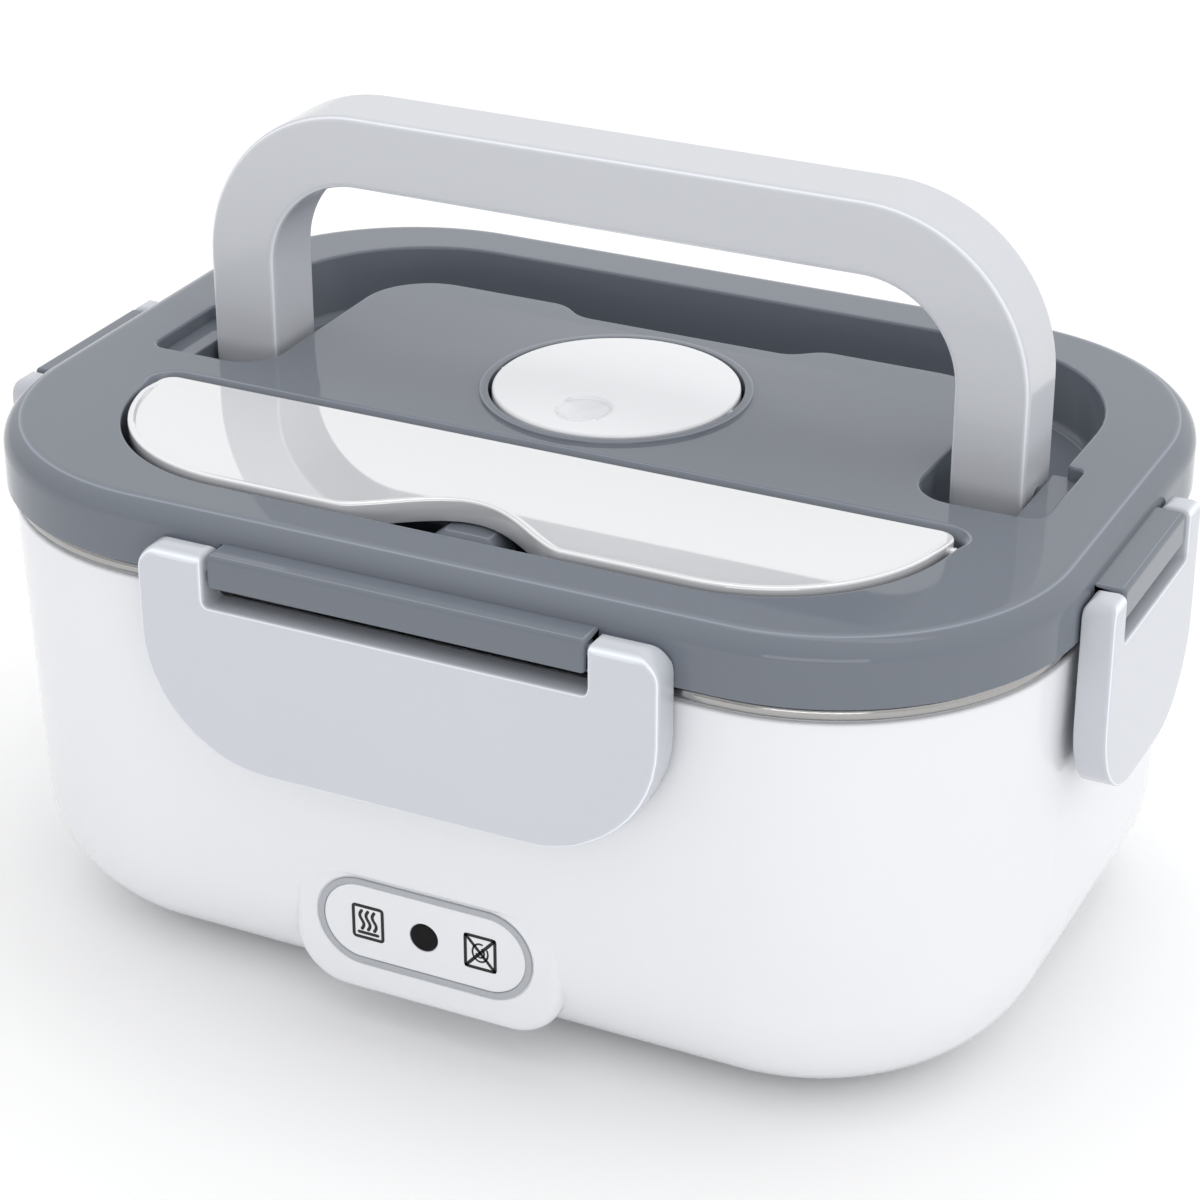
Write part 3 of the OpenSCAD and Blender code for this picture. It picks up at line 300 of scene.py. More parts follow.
def across(place):
    """Lets an outline lie in a side's cross-section: its x is outwards, its y up, and heights run along."""
    return lambda rows: place(np.stack([rows[..., 2], rows[..., 0], rows[..., 1]], -1))


def facing(place):
    """Lets an outline face outwards: its x runs along the side, its y up, and heights go outwards."""
    return lambda rows: place(np.stack([rows[..., 0], rows[..., 2], rows[..., 1]], -1))


def on_face(side=-1):
    """Stands an outline (x, z) on the front (-1) or rear (1) of the body; heights run outwards from the
    middle of the box."""
    return lambda rows: np.stack([-side * rows[..., 0], side * rows[..., 2], rows[..., 1]], -1)


# ---- body, container and panel ----

def body_radius(z):
    """Radius of the body's skin at a height, from the corner centres: an arc up to the drafted side."""
    low = BODY_FOOT + BODY_EDGE
    if z < low:
        return BODY_LOW_R - BODY_EDGE + math.sqrt(BODY_EDGE ** 2 - (low - z) ** 2)
    return BODY_LOW_R + (BODY_R - BODY_LOW_R) * (z - low) / (BODY_TOP - low)


def sunk_top(rows):
    """Stands the panel's pod on the front and lets its rim sink into the body's skin from the panel's middle
    height up, by sink rise^1.2."""
    rise = np.clip((rows[..., 1] - PANEL_Z) / (POD[1][1] - PANEL_Z), 0, 1)
    return np.stack([rows[..., 0], -(rows[..., 2] - POD_SINK * rise ** 1.2), rows[..., 1]], -1)


def build_body(edge):
    """Body moulding: the closed profile of the wall, its bottom arc and the rebate of the bottom cover is
    carried round the box. On the front and rear stand the pods, and each side has a rail that its latch hooks
    under."""
    skin = Skin()
    low, foot_r, inner = BODY_FOOT + BODY_EDGE, BODY_LOW_R - BODY_EDGE, BODY_EDGE - BODY_WALL
    ledge = HATCH_SEAT + BODY_WALL
    reach = math.degrees(math.asin((low - ledge) / inner))
    wall = [(HATCH_R - HATCH_RIM, HATCH_SEAT), (HATCH_R, HATCH_SEAT), (HATCH_R, BODY_FOOT)]
    wall += profile_arc((foot_r, low), BODY_EDGE, -89.5, 0, 28)
    wall += [(body_radius(z), z) for z in (40, 60, 80, BODY_TOP - 1.0, BODY_TOP - edge)]
    wall += profile_arc((BODY_R - edge, BODY_TOP - edge), edge, 20, 90, 4)
    wall += [(BODY_R - edge - 0.2, BODY_TOP), (BODY_R - BODY_WALL, BODY_TOP)]
    wall += profile_arc((foot_r, low), inner, 0, -reach, 12)
    wall += [(HATCH_R - HATCH_RIM, ledge), (HATCH_R - HATCH_RIM, HATCH_SEAT)]
    skin.grid(around(wall))

    seat = [(0.15, FACE_Y), (0, FACE_Y - 0.15), (0, FACE_Y - 0.3)]
    for corners, place, hole, hole_wall, side in (
            (POD, sunk_top, stadium(RING_LEN + 0.5, RING_H + 0.5), seat, -1),
            (INLET_POD, on_face(1), box_outline(*INLET, 0.6, 4), [(0, FACE_Y), (0, FACE_Y - INLET_DEEP)], 1)):
        face = block(skin, box_outline(*corners, POD_R, 16), POD_ROOT, FACE_Y, POD_EDGE, 0.3, place, steps=8,
                     open_end=True)
        close_round(skin, face, carry(hole, hole_wall, on_face(side)))

    for k in range(4):
        half = SIDE_HALF[k % 2] - SIDE_EAR[k % 2] - 10
        block(skin, rounded(RAIL, 0.25, 3, 0.2), -half, half, 0.2, place=across(side_place(k)))
    return skin.make("body_moulding")


def build_pan():
    """Steel container: the closed profile of the sheet carried round the box, from the bottom up the drafted
    side, over the rolled rim that shows under the lid and back down inside."""
    skin = Skin()
    bend = (PAN_R - PAN_DRAFT - PAN_EDGE, PAN_FLOOR - STEEL + PAN_EDGE)
    roll = RIM_H / 2
    rim = (BODY_R - roll, RIM_TOP - roll)
    sheet = profile_arc(bend, PAN_EDGE, -90, 0, 12) + [(PAN_R, RIM_TOP - STEEL)]
    sheet += profile_arc(rim, roll - STEEL, 90, -60, 10) + profile_arc(rim, roll, -60, 90, 16)
    sheet += [(PAN_R - STEEL, RIM_TOP)] + profile_arc(bend, PAN_EDGE - STEEL, 0, -90, 12)
    rows = around(sheet)
    skin.grid(rows)
    skin.fill(rows[0])
    skin.fill(rows[-1])
    return skin.make("steel_pan")


def stadium(length, height):
    """Bar with round ends about the panel's centre."""
    low, high = (-length / 2, PANEL_Z - height / 2), (length / 2, PANEL_Z + height / 2)
    return box_outline(low, high, height / 2 - 0.01, 20)


def build_ring():
    """Grey ring round the panel: a low round-backed section carried round the panel's outline."""
    skin = Skin()
    shoulder = FACE_Y - 0.12
    section = [(0, FACE_Y - PANEL_DEEP), (0, shoulder)]
    section += profile_arc((-RING_ROUND, shoulder), RING_ROUND, 30, 90, 2)
    section += [(-RING_W / 2, FACE_Y + RING_BACK)]
    section += profile_arc((RING_ROUND - RING_W, shoulder), RING_ROUND, 90, 180, 3)
    section += [(-RING_W, FACE_Y - PANEL_DEEP), (0, FACE_Y - PANEL_DEEP)]
    skin.grid(carry(stadium(RING_LEN, RING_H), section, on_face()))
    return skin.make("ring")


def build_plate():
    """Panel plate inside the ring, with the hole of the lamp window."""
    skin = Skin()
    inside = 2 * RING_W + 0.1
    face = block(skin, stadium(RING_LEN - inside, RING_H - inside), FACE_Y - PANEL_DEEP, FACE_Y, 0.2, 0.05,
                 on_face(), guard=0.05, open_end=True)
    wall = [(0.1, FACE_Y), (0, FACE_Y - 0.1), (0, FACE_Y - 1)]
    close_round(skin, face, carry(disc((0, PANEL_Z), LAMP_R + 0.1, 48), wall, on_face()))
    return skin.make("plate")


def build_lens():
    """Round lamp window."""
    skin = Skin()
    block(skin, disc((0, PANEL_Z), LAMP_R, 48), FACE_Y - PANEL_DEEP, FACE_Y + 0.1, 0.25, 0.05, on_face())
    return skin.make("lamp_window")


def stroke(path, width):
    """Outline of a line of even width with round ends along a path of points."""
    path = np.asarray(path, float)
    along = np.gradient(path, axis=0)
    along /= np.linalg.norm(along, axis=1)[:, None]
    right = np.column_stack([along[:, 1], -along[:, 0]])
    half, normals, points = width / 2, [], []
    for centre, start in ((path[-1], right[-1]), (path[0], -right[0])):
        turn = np.linspace(0, np.pi, 7)[1:-1, None]
        cap = np.cos(turn) * start + np.sin(turn) * np.array([-start[1], start[0]])
        side, out = (path, right) if not points else (path[::-1], -right[::-1])
        points += [side + half * out, centre + half * cap]
        normals += [out, cap]
    return np.vstack(points), np.vstack(normals)


def build_symbols(width):
    """Two printed signs on the panel. Left: a rounded square with three waves x = a sin(2 pi t) over a bar,
    for warming. Right: a rounded square with both diagonals over a coil of two open ovals."""
    skin = Skin()
    low, high = FACE_Y - 0.1, FACE_Y + 0.05
    half_x, half_z = SIGN_HALF

    def draw(x, z, share=1.0):
        """Line through points from the panel's middle."""
        path = np.column_stack([x, PANEL_Z + np.asarray(z)])
        block(skin, stroke(path, share * width), low, high, 0.02, place=on_face(), guard=0.01, steps=1)

    for centre in (-SIGN_X, SIGN_X):
        corners = (centre - half_x, PANEL_Z - half_z), (centre + half_x, PANEL_Z + half_z)
        square = box_outline(*corners, SIGN_R, 5)
        band = [(0, low), (0, high), (-width, high), (-width, low), (0, low)]
        skin.grid(carry(square, band, on_face()))
    t = np.linspace(0, 1, 17)
    for x in (-1.45, 0.0, 1.45):
        draw(x - SIGN_X + 0.45 * np.sin(2 * np.pi * t), 4.3 * t - 1.7)
    draw((-SIGN_X - 2.2, -SIGN_X + 2.2), (-2.6, -2.6))
    reach_x, reach_z = half_x - 0.45, half_z - 0.45
    for rise in (reach_z, -reach_z):
        draw((SIGN_X - reach_x, SIGN_X + reach_x), (-rise, rise))
    for start, end, wide, tall, count in ((75, 385, 1.75, 2.1, 33), (60, -160, 0.9, 1.1, 17)):
        turn = np.radians(np.linspace(start, end, count))
        draw(SIGN_X + wide * np.cos(turn), tall * np.sin(turn), 0.6)
    return skin.make("panel_signs")


# ---- lid ----

def opening_profile(top, floor, edge, fillet):
    """Wall of an opening from its upper edge down: rounded over at the top, filleted into the floor. The
    radius at the top may change from station to station."""
    guard = 0.3
    rows = [(edge + guard, top)] + profile_arc((edge, top - edge), edge, 90, 180, 7)
    return rows + profile_arc((-fillet, floor + fillet), fillet, 0, -90, 5) + [(-fillet - guard, floor)]


def trough_outline():
    """U-shaped trough of the folded handle: two arms round the deck, a step behind each pivot, and the
    finger recess in the deck's rear edge."""
    half = [(DECK_HALF, TROUGH_FRONT), (TROUGH_HALF, TROUGH_FRONT), (TROUGH_HALF, CHEEK_Y),
            (TROUGH_HALF - CHEEK, CHEEK_Y), (TROUGH_HALF - CHEEK, TROUGH_REAR)]
    radii = [9, 3.5, 1.8, 1.6, TROUGH_R]
    recess = [(RECESS_HALF + 6, DECK_REAR), (RECESS_HALF, DECK_REAR - RECESS_DEP)]
    corners = half + [(-x, y) for x, y in reversed(half)] + [(-DECK_HALF, DECK_REAR)]
    corners += [(-x, y) for x, y in recess] + recess[::-1] + [(DECK_HALF, DECK_REAR)]
    return rounded(corners, radii + radii[::-1] + [DECK_R, 8, 8, 8, 8, DECK_R], steps=14)


def moon_outline(grow, corner, notch=None):
    """Half-moon plan of the cutlery cover, grown by a gap. With a notch, its front edge follows
    y = front + depth ((1 + cos(2 pi x / width)) / 2) ^ 0.75 in the middle."""
    x, front, rear = COVER_HALF + grow, COVER_FRONT - grow, COVER_REAR + grow
    points, normals = rounded([(-x, front), (x, front), (x, rear), (-x, rear)],
                              [COVER_R + grow, COVER_R + grow, corner, corner], steps=24)
    if notch:
        width, depth = notch
        first = int(np.argmax(points[:, 0] > 0))
        at = np.linspace(-width / 2, width / 2, 61)
        curve = np.column_stack([at, front + depth * ((1 + np.cos(2 * np.pi * at / width)) / 2) ** 0.75])
        slope = np.gradient(curve[:, 1], at)
        outward = np.column_stack([slope, -np.ones_like(slope)]) / np.hypot(slope, 1)[:, None]
        points = np.insert(points, first, curve, 0)
        normals = np.insert(normals, first, outward, 0)
    return points, normals


def moon_rounding(outline):
    """Radius of the upper edge of the cover's compartment: small in front, broad along the rear edge and
    round the rear corners. Between them it grows as 3 t^2 - 2 t^3."""
    rear = np.clip((outline[0][:, 1] - COVER_REAR + 8) / 7, 0, 1)
    return 0.5 + 2.0 * rear * rear * (3 - 2 * rear)


def build_lid(edge, trough_edge):
    """Lid moulding: the rim's profile carried round the box, a flat top with three openings, their walls and
    floors, the hinge bars, the ledges beside the handle's legs and the block that the cover's skirt rests
    on."""
    skin = Skin()
    hollow, bend = HOLLOW_R - CORNER, 2.8
    rim = [(hollow, LID_UNDER), (hollow, DECK_LOW)]
    rim += profile_arc((-WALL - bend, DECK_LOW - bend), bend, 90, 0, 5)
    rim += [(-WALL, LID_Z), (-0.3, LID_Z), (0, LID_Z + 0.3), (0, LID_TOP - edge - 0.4)]
    rim += profile_arc((-edge, LID_TOP - edge), edge, 0, 90, 10) + [(-edge - 0.5, LID_TOP)]
    rows = carry(plan(CORNER), rim)
    skin.grid(rows)
    steam = disc((0, VENT_Y + STEAM_Y), STEAM_R, 32)
    skin.fill(rows[0], upright(steam[0], LID_UNDER))

    loops = []
    moon = moon_outline(COVER_GAP, OPENING_CORNER)
    for outline, floor, rounding in ((trough_outline(), TROUGH_FLOOR, trough_edge),
                                     (moon, POCKET_FLOOR, moon_rounding(moon))):
        wall = carry(outline, opening_profile(LID_TOP, floor, rounding, 2.0))
        skin.grid(wall)
        loops.append(wall[0])
        skin.fill(wall[-1])
    collar = COLLAR_R - VENT_HOLE_R
    ring = [(collar + 0.5, 0), (collar + 0.15, 0.04), (collar, 0.2), (collar, COLLAR_H - 0.35),
            (collar - 0.12, COLLAR_H - 0.1), (collar - 0.35, COLLAR_H)]
    ring = [(out, LID_TOP + up) for out, up in ring]
    wall = carry(disc((0, VENT_Y), VENT_HOLE_R, 96),
                 ring + opening_profile(LID_TOP + COLLAR_H, VENT_FLOOR, 0.25, 1.2))
    skin.grid(wall)
    loops.append(wall[0])
    skin.fill(wall[-1], upright(steam[0], VENT_FLOOR))
    skin.grid(carry(steam, [(0, VENT_FLOOR), (0, LID_UNDER)]))
    skin.fill(rows[-1], *loops)

    bar = rounded(HINGE_BAR, [0.2, 0.6, 1.1, 0.2], 6, 0.2)
    for k in range(4):
        half = SIDE_HALF[k % 2] - SIDE_EAR[k % 2] - 0.7
        block(skin, bar, -half, half, 0.9, place=across(side_place(k)))
    ledge, outward = box_outline((HANDLE_HALF + 1.0, TROUGH_FRONT - 1), (TROUGH_HALF + 0.5, CHEEK_Y + 1.8),
                                 0.6, 4)
    for side in (-1, 1):
        block(skin, (ledge * (side, 1), outward * (side, 1)), TROUGH_FLOOR - 1, LEDGE_TOP)
    skin.grid(rest_rows())
    return skin.make("lid_moulding")


def rest_rows():
    """Sloped, round-topped block under the cover's skirt. From front to back its height grows as
    sin(pi t / 2)^0.9 until it is full near the notch's deepest point, and its width narrows with it. Across
    the width, s from -1 to 1, the height falls off as 1 - |s|^6."""
    peak = COVER_FRONT + NOTCH[1]
    start, end = peak + REST_SLOPE[0], peak + REST_SLOPE[1]
    foot, top = POCKET_FLOOR - 0.5, COVER_LOW - SKIRT - 0.3
    y = np.concatenate([np.linspace(start, end, 8), np.linspace(end + 0.6, peak + 1.6, 6)])
    growth = np.sin(np.clip((y - start) / (end - start), 0, 1) * np.pi / 2) ** 0.9
    side = np.linspace(-1, 1, 15)[:, None]
    height = foot + (top - foot) * growth * (1 - np.abs(side) ** 6)
    return np.stack([(REST_HALF - REST_TAPER * growth) * side, np.broadcast_to(y, height.shape), height], -1)


# ---- handle ----

def build_handle(edge):
    """Carry handle: a rounded bar section carried along an arch of two legs, two corner arcs and a grip. Each
    leg ends in the same half section turned about the pivot."""
    arch, outward = box_outline((-HANDLE_HALF, HANDLE_Z - 40), (HANDLE_HALF, HANDLE_TOP),
                                [1, 1, HANDLE_R, HANDLE_R], 24)
    keep = arch[:, 1] > HANDLE_Z
    arch, outward = arch[keep], outward[keep]
    order = np.argsort(np.arctan2(arch[:, 1] - HANDLE_Z, arch[:, 0]))
    points = np.vstack([(HANDLE_HALF, HANDLE_Z), arch[order], (-HANDLE_HALF, HANDLE_Z)])
    normals = np.vstack([(1, 0), outward[order], (-1, 0)])
    flat, face = edge + 0.3, HANDLE_T / 2
    half = [(-HANDLE_BAR, 0.0), (-HANDLE_BAR, face - flat)]
    half += profile_arc((edge - HANDLE_BAR, face - edge), edge, 180, 90, 6)
    half += [(flat - HANDLE_BAR, face), (-flat, face)]
    half += profile_arc((-edge, face - edge), edge, 90, 0, 6)
    half = np.array(half + [(0.0, face - flat), (0.0, 0.0)])
    section = np.vstack([half * (1, -1), half[::-1][1:-1]])
    rows = points[:, None, :] + normals[:, None, :] * section[None, :, :1]
    depth = np.broadcast_to(HANDLE_Y + section[None, :, 1], rows.shape[:2])
    skin = Skin()
    skin.grid(np.stack([rows[..., 0], depth, rows[..., 1]], -1))
    turn = np.linspace(0, np.pi, 25)[:, None]
    out, deep = half.T
    for side in (-1, 1):
        x = np.broadcast_to(side * (HANDLE_HALF + out), (len(turn), len(half)))
        knuckle = np.stack([x, HANDLE_Y - deep * np.cos(turn), HANDLE_Z - deep * np.sin(turn)], -1)
        skin.grid(knuckle, loop=False)
    return skin.make("carry_handle")


# ---- cover and vent ----

def build_cover():
    """Half-moon cover: a plate with a raised lip along its front and round the notch, a skirt that goes down
    along the notch, and a stub pivot at each rear corner."""
    outline = moon_outline(0.0, COVER_CORNER, NOTCH)
    x, y = outline[0].T
    lip = COVER_LIP * np.clip((COVER_REAR - 4 - y) / 7, 0, 1)
    inside = np.clip((NOTCH[0] / 2 + 0.5 - np.abs(x)) / 2, 0, 1) * (y < COVER_REAR - 20)
    low = COVER_LOW - SKIRT * inside
    profile = [(-2.4, COVER_TOP), (-1.85, COVER_TOP)]
    profile += [(out, COVER_TOP + share * lip)
                for out, share in ((-1.7, 0.1), (-1.5, 0.5), (-1.3, 0.9), (-1.15, 1.0), (-0.75, 1.0))]
    profile += profile_arc((-LIP_EDGE, COVER_TOP + lip - LIP_EDGE), LIP_EDGE, 90, 0, 4)
    profile += [(0, low + 0.5), (-0.15, low + 0.15), (-0.5, low), (-1.6, low), (-1.6, COVER_LOW)]
    rows = carry(outline, profile)
    skin = Skin()
    skin.grid(rows)
    skin.fill(rows[0])
    skin.fill(rows[-1])
    stubs(skin, disc(COVER_PIN, COVER_PIN_R, 24), COVER_HALF - 1, COVER_HALF + 1.1, 0.2)
    return skin.make("half_moon_cover")


def build_vent():
    """Vent cap. Its dome is z = edge + rise (1 - (r / R)^2). A grid runs from the dimple's round edge out to
    the cap's rim, and the dimple is part of a ball."""
    skin = Skin()
    unit = disc((0, 0), 1.0, 96)[1]
    centre = np.array([0.0, -DIMPLE_Y])
    rim, shore = VENT_R - VENT_ROUND, DIMPLE_R + 0.3

    def dome(flat):
        """Height of the dome over a place."""
        return VENT_EDGE + VENT_DOME * (1 - (np.linalg.norm(flat, axis=-1) / VENT_R) ** 2)

    rows = []
    for r in np.linspace(0.05, DIMPLE_R - 0.25, 12):
        sunk = math.sqrt(DIMPLE_BALL ** 2 - r ** 2) - math.sqrt(DIMPLE_BALL ** 2 - DIMPLE_R ** 2)
        rows.append(upright(centre + r * unit, dome(centre) - sunk))
    for r, drop in ((DIMPLE_R, 0.07), (shore, 0.0)):
        flat = centre + r * unit
        rows.append(upright(flat, dome(flat) - drop))
    for share in np.linspace(0, 1, 25)[1:]:
        flat = (1 - share) * (centre + shore * unit) + share * rim * unit
        rows.append(upright(flat, dome(flat)))
    for r, z in profile_arc((rim, VENT_EDGE - 0.6), VENT_ROUND, 67.5, 0, 3) + [(VENT_R, VENT_LOW)]:
        rows.append(upright(r * unit, z))
    rows = np.array(rows) + np.array([0.0, VENT_Y, 0.0])
    skin.grid(rows)
    skin.fill(rows[0])
    skin.fill(rows[-1])
    stubs(skin, disc((VENT_Y, VENT_PIN_Z), VENT_PIN_R, 20), VENT_R - 1, VENT_HOLE_R + 1.2, 0.1)
    return skin.make("vent_button")


# ---- latches ----

def build_latch(k, edge):
    """Clip latch of side k: one outline with two ears and a notch between them. Its front edge is rounded,
    more so over the ears, which stay inside the circle that they turn in beside the lid. Behind, a flange
    runs round a hollow, and the hook hangs inside."""
    half, corner, ear_corner = SIDE_HALF[k % 2], LATCH_CORNER[k % 2], EAR_CORNER[k % 2]
    inner = half - SIDE_EAR[k % 2]
    corners = [(-half, -LATCH_DROP), (half, -LATCH_DROP), (half, EAR_R), (inner, EAR_R), (inner, -NOTCH_DROP),
               (-inner, -NOTCH_DROP), (-inner, EAR_R), (-half, EAR_R)]
    points, normals = rounded(corners, [corner, corner, ear_corner, 2.0, 1.2, 1.2, 2.0, ear_corner], 12, 0.3)
    upward = np.clip(normals[:, 1], 0, 1) * (points[:, 1] > 0)
    notch = (np.abs(points[:, 0]) < inner + 0.01) & (points[:, 1] < -NOTCH_DROP + 1.5)
    ease = np.where(notch, NOTCH_EASE, edge + (EAR_EASE - edge) * upward ** 2)
    rear_ease = BACK_EASE + 1.5 * upward ** 2
    profile = [(-rear_ease, -EAR_R)] + profile_arc((-rear_ease, rear_ease - EAR_R), rear_ease, -67.5, 0, 3)
    profile += [(0, EAR_R - ease - 0.02)] + profile_arc((-ease, EAR_R - ease), ease, 15, 90, 5)
    profile += [(-ease - 0.3, EAR_R)]
    rows = carry((points, normals), profile)
    reach = np.hypot(rows[..., 1], rows[..., 2])
    inward = np.where((rows[..., 1] > 0) & (reach > EAR_SWING), EAR_SWING / reach, 1.0)
    rows[..., 1:] *= inward[..., None]
    place = facing(side_place(k))
    rows = place(rows)
    skin = Skin()
    skin.grid(rows)
    skin.fill(rows[-1])
    # back: the flange's rim, the hollow's wall and the plate's inner face
    inset, low = half - LATCH_T, LATCH_T - LATCH_DROP
    hollow = rounded([(-inset, low), (inset, low), (inset, -NOTCH_DROP - 1), (-inset, -NOTCH_DROP - 1)],
                     [corner - LATCH_T, corner - LATCH_T, 0.6, 0.6], 12, 0.3)[0]
    deep, brim = place(upright(hollow, EAR_R - LATCH_T)), place(upright(hollow, -EAR_R))
    skin.fill(deep)
    skin.grid(np.array([brim, deep]))
    skin.fill(rows[0], brim)
    length = inner - 12
    block(skin, rounded(HOOK, 0.3, 3, 0.1), -length, length, 0.3, place=across(side_place(k)))
    return skin.make(SIDES[k] + "_clip")


# ---- finishes ----

def group(name, inputs, outputs):
    """Empty shader node group with named sockets; returns it with its input and output nodes."""
    tree = bpy.data.node_groups.new(name, "ShaderNodeTree")
    for label, kind, value in inputs:
        tree.interface.new_socket(label, in_out="INPUT", socket_type=kind).default_value = value
    for label, kind in outputs:
        tree.interface.new_socket(label, in_out="OUTPUT", socket_type=kind)
    return tree, tree.nodes.new("NodeGroupInput"), tree.nodes.new("NodeGroupOutput")


def node(tree, kind, links=(), **values):
    """Adds a node, sets its attributes and inputs, and links (output socket, input name) pairs."""
    made = tree.nodes.new(kind)
    for key, value in values.items():
        if hasattr(made, key):
            setattr(made, key, value)
        else:
            made.inputs[key.replace("_", " ")].default_value = value
    for source, target in links:
        tree.links.new(source, made.inputs[target])
    return made


def math_node(tree, operation, a, b=0.0):
    """Output of a math node whose inputs are sockets or numbers."""
    made = tree.nodes.new("ShaderNodeMath")
    made.operation = operation
    for at, value in enumerate((a, b)):
        if isinstance(value, (int, float)):
            made.inputs[at].default_value = value
        else:
            tree.links.new(value, made.inputs[at])
    return made.outputs[0]


def skin_group(name, inputs):
    """Empty group for a skin. Colour and roughness go in with its own inputs; colour, roughness and normal
    come out. Returns the group, its inputs, its output node and the place on the piece."""
    tree, given, out = group(
        name,
        [("Colour", "NodeSocketColor", (0.8, 0.8, 0.8, 1)), ("Roughness", "NodeSocketFloat", 0.2), *inputs],
        [("Colour", "NodeSocketColor"), ("Roughness", "NodeSocketFloat"), ("Normal", "NodeSocketVector")])
    return tree, given.outputs, out, node(tree, "ShaderNodeTexCoord").outputs["Object"]


def close_group(tree, out, given, scale, rough, bump):
    """Links the results of a skin group: its colour times a scale, its roughness and its bump's normal."""
    tint = node(tree, "ShaderNodeVectorMath", [(given["Colour"], 0), (scale, "Scale")], operation="SCALE")
    normal = bump.outputs["Normal"]
    for result, name in ((tint.outputs[0], "Colour"), (rough, "Roughness"), (normal, "Normal")):
        tree.links.new(result, out.inputs[name])
    return tree


def moulding_group():
    """Moulded plastic: a slow flow of tone through the part, a fine waviness of the skin, a roughness that
    drifts a little, and a painted line along rounded edges: a positive strength paints a highlight into the
    base colour there, a negative one paints shade. The line lies where the normal's share along Face, its
    size a, is
    near Bend: 1 - |a - Bend| / Spread, squared."""
    tree, given, out, spot = skin_group("moulded_skin", [
        ("Ripple", "NodeSocketFloat", 0.1), ("Tone", "NodeSocketFloat", 0.03),
        ("Edge", "NodeSocketFloat", 0.0), ("Face", "NodeSocketVector", (0.0, 1.0, 0.0)),
        ("Bend", "NodeSocketFloat", 0.72), ("Spread", "NodeSocketFloat", 0.2)])
    flow = node(tree, "ShaderNodeTexNoise", [(spot, "Vector")], Scale=18.0, Detail=3.0)
    fine = node(tree, "ShaderNodeTexNoise", [(spot, "Vector")], Scale=900.0, Detail=2.0)
    swing = math_node(tree, "SUBTRACT", flow.outputs["Fac"], 0.5)
    scale = math_node(tree, "ADD", 1.0, math_node(tree, "MULTIPLY", swing, given["Tone"]))
    normal = node(tree, "ShaderNodeNewGeometry").outputs["Normal"]
    share = node(tree, "ShaderNodeVectorMath", [(normal, 0), (given["Face"], 1)], operation="DOT_PRODUCT")
    size = math_node(tree, "ABSOLUTE", share.outputs["Value"])
    away = math_node(tree, "ABSOLUTE", math_node(tree, "SUBTRACT", size, given["Bend"]))
    line = math_node(tree, "SUBTRACT", 1.0, math_node(tree, "DIVIDE", away, given["Spread"]))
    line = math_node(tree, "MAXIMUM", line, 0.0)
    # painted light: the edge line scales the base colour, a painted highlight with a positive strength and
    # painted shade with a negative one
    painted_light = math_node(tree, "MULTIPLY", math_node(tree, "MULTIPLY", line, line), given["Edge"])
    scale = math_node(tree, "ADD", scale, painted_light)
    drift = math_node(tree, "MULTIPLY", math_node(tree, "SUBTRACT", fine.outputs["Fac"], 0.5), 0.03)
    rough = math_node(tree, "ADD", given["Roughness"], drift)
    bump = node(tree, "ShaderNodeBump", [(fine.outputs["Fac"], "Height"), (given["Ripple"], "Strength")],
                Distance=BUMP_HEIGHT)
    return close_group(tree, out, given, scale, rough, bump)


def grain_group():
    """Drawn or brushed metal: noise stretched along one direction gives lines of tone, roughness and
    height."""
    tree, given, out, spot = skin_group("metal_grain", [
        ("Stretch", "NodeSocketVector", (1.0, 1.0, 1.0)), ("Lines", "NodeSocketFloat", 0.2)])
    scaled = node(tree, "ShaderNodeVectorMath", [(spot, 0), (given["Stretch"], 1)], operation="MULTIPLY")
    lines = node(tree, "ShaderNodeTexNoise", [(scaled.outputs[0], "Vector")], Scale=1000.0, Detail=3.0)
    swing = math_node(tree, "SUBTRACT", lines.outputs["Fac"], 0.5)
    scale = math_node(tree, "ADD", 1.0, math_node(tree, "MULTIPLY", swing, given["Lines"]))
    rough = math_node(tree, "ADD", given["Roughness"], math_node(tree, "MULTIPLY", swing, 0.25))
    bump = node(tree, "ShaderNodeBump", [(lines.outputs["Fac"], "Height")], Strength=0.25,
                Distance=BUMP_HEIGHT)
    return close_group(tree, out, given, scale, rough, bump)


def finish(name, group_name, build, colour, roughness, sockets, **constants):
    """Material whose Principled shader takes colour, roughness and normal from a group that all its kind
    share. Constants go straight onto the shader's own sockets. The word in front keeps its name apart from
    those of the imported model's materials."""
    name = "look_" + name
    known = bpy.data.materials.get(name)
    if known:
        return known
    material = bpy.data.materials.new(name)
    material.use_nodes = True
    tree = material.node_tree
    shader = tree.nodes["Principled BSDF"]
    shared = tree.nodes.new("ShaderNodeGroup")
    shared.node_tree = bpy.data.node_groups.get(group_name) or build()
    shared.inputs["Colour"].default_value = (*colour, 1)
    shared.inputs["Roughness"].default_value = roughness
    for key, value in sockets.items():
        shared.inputs[key].default_value = value
    for source, target in (("Colour", "Base Color"), ("Roughness", "Roughness"), ("Normal", "Normal")):
        tree.links.new(shared.outputs[source], shader.inputs[target])
    for key, value in constants.items():
        shader.inputs[key.replace("_", " ")].default_value = value
    return material


# no painted highlight and no painted shade along the edges
NO_PAINTED_LINE = (0.0, (0, 1, 0), 0.72, 0.2)


def plastic(name, colour, roughness=0.2, ripple=0.15, tone=0.04, edge=NO_PAINTED_LINE, **constants):
    """Moulded plastic. The painted line along its edges is given as strength, face direction, bend and
    spread:
    a positive strength paints a highlight into the base colour, a negative one paints shade.
    """
    values = dict(zip(("Edge", "Face", "Bend", "Spread"), edge), Ripple=ripple, Tone=tone)
    return finish(name, "moulded_skin", moulding_group, colour, roughness, values, **constants)


def metal(name, colour, roughness=0.3, stretch=(1, 1, 1), lines=0.2):
    """Metal with its grain stretched by a factor for each axis."""
    return finish(name, "metal_grain", grain_group, colour, roughness, {"Stretch": stretch, "Lines": lines},
                  Metallic=1.0)


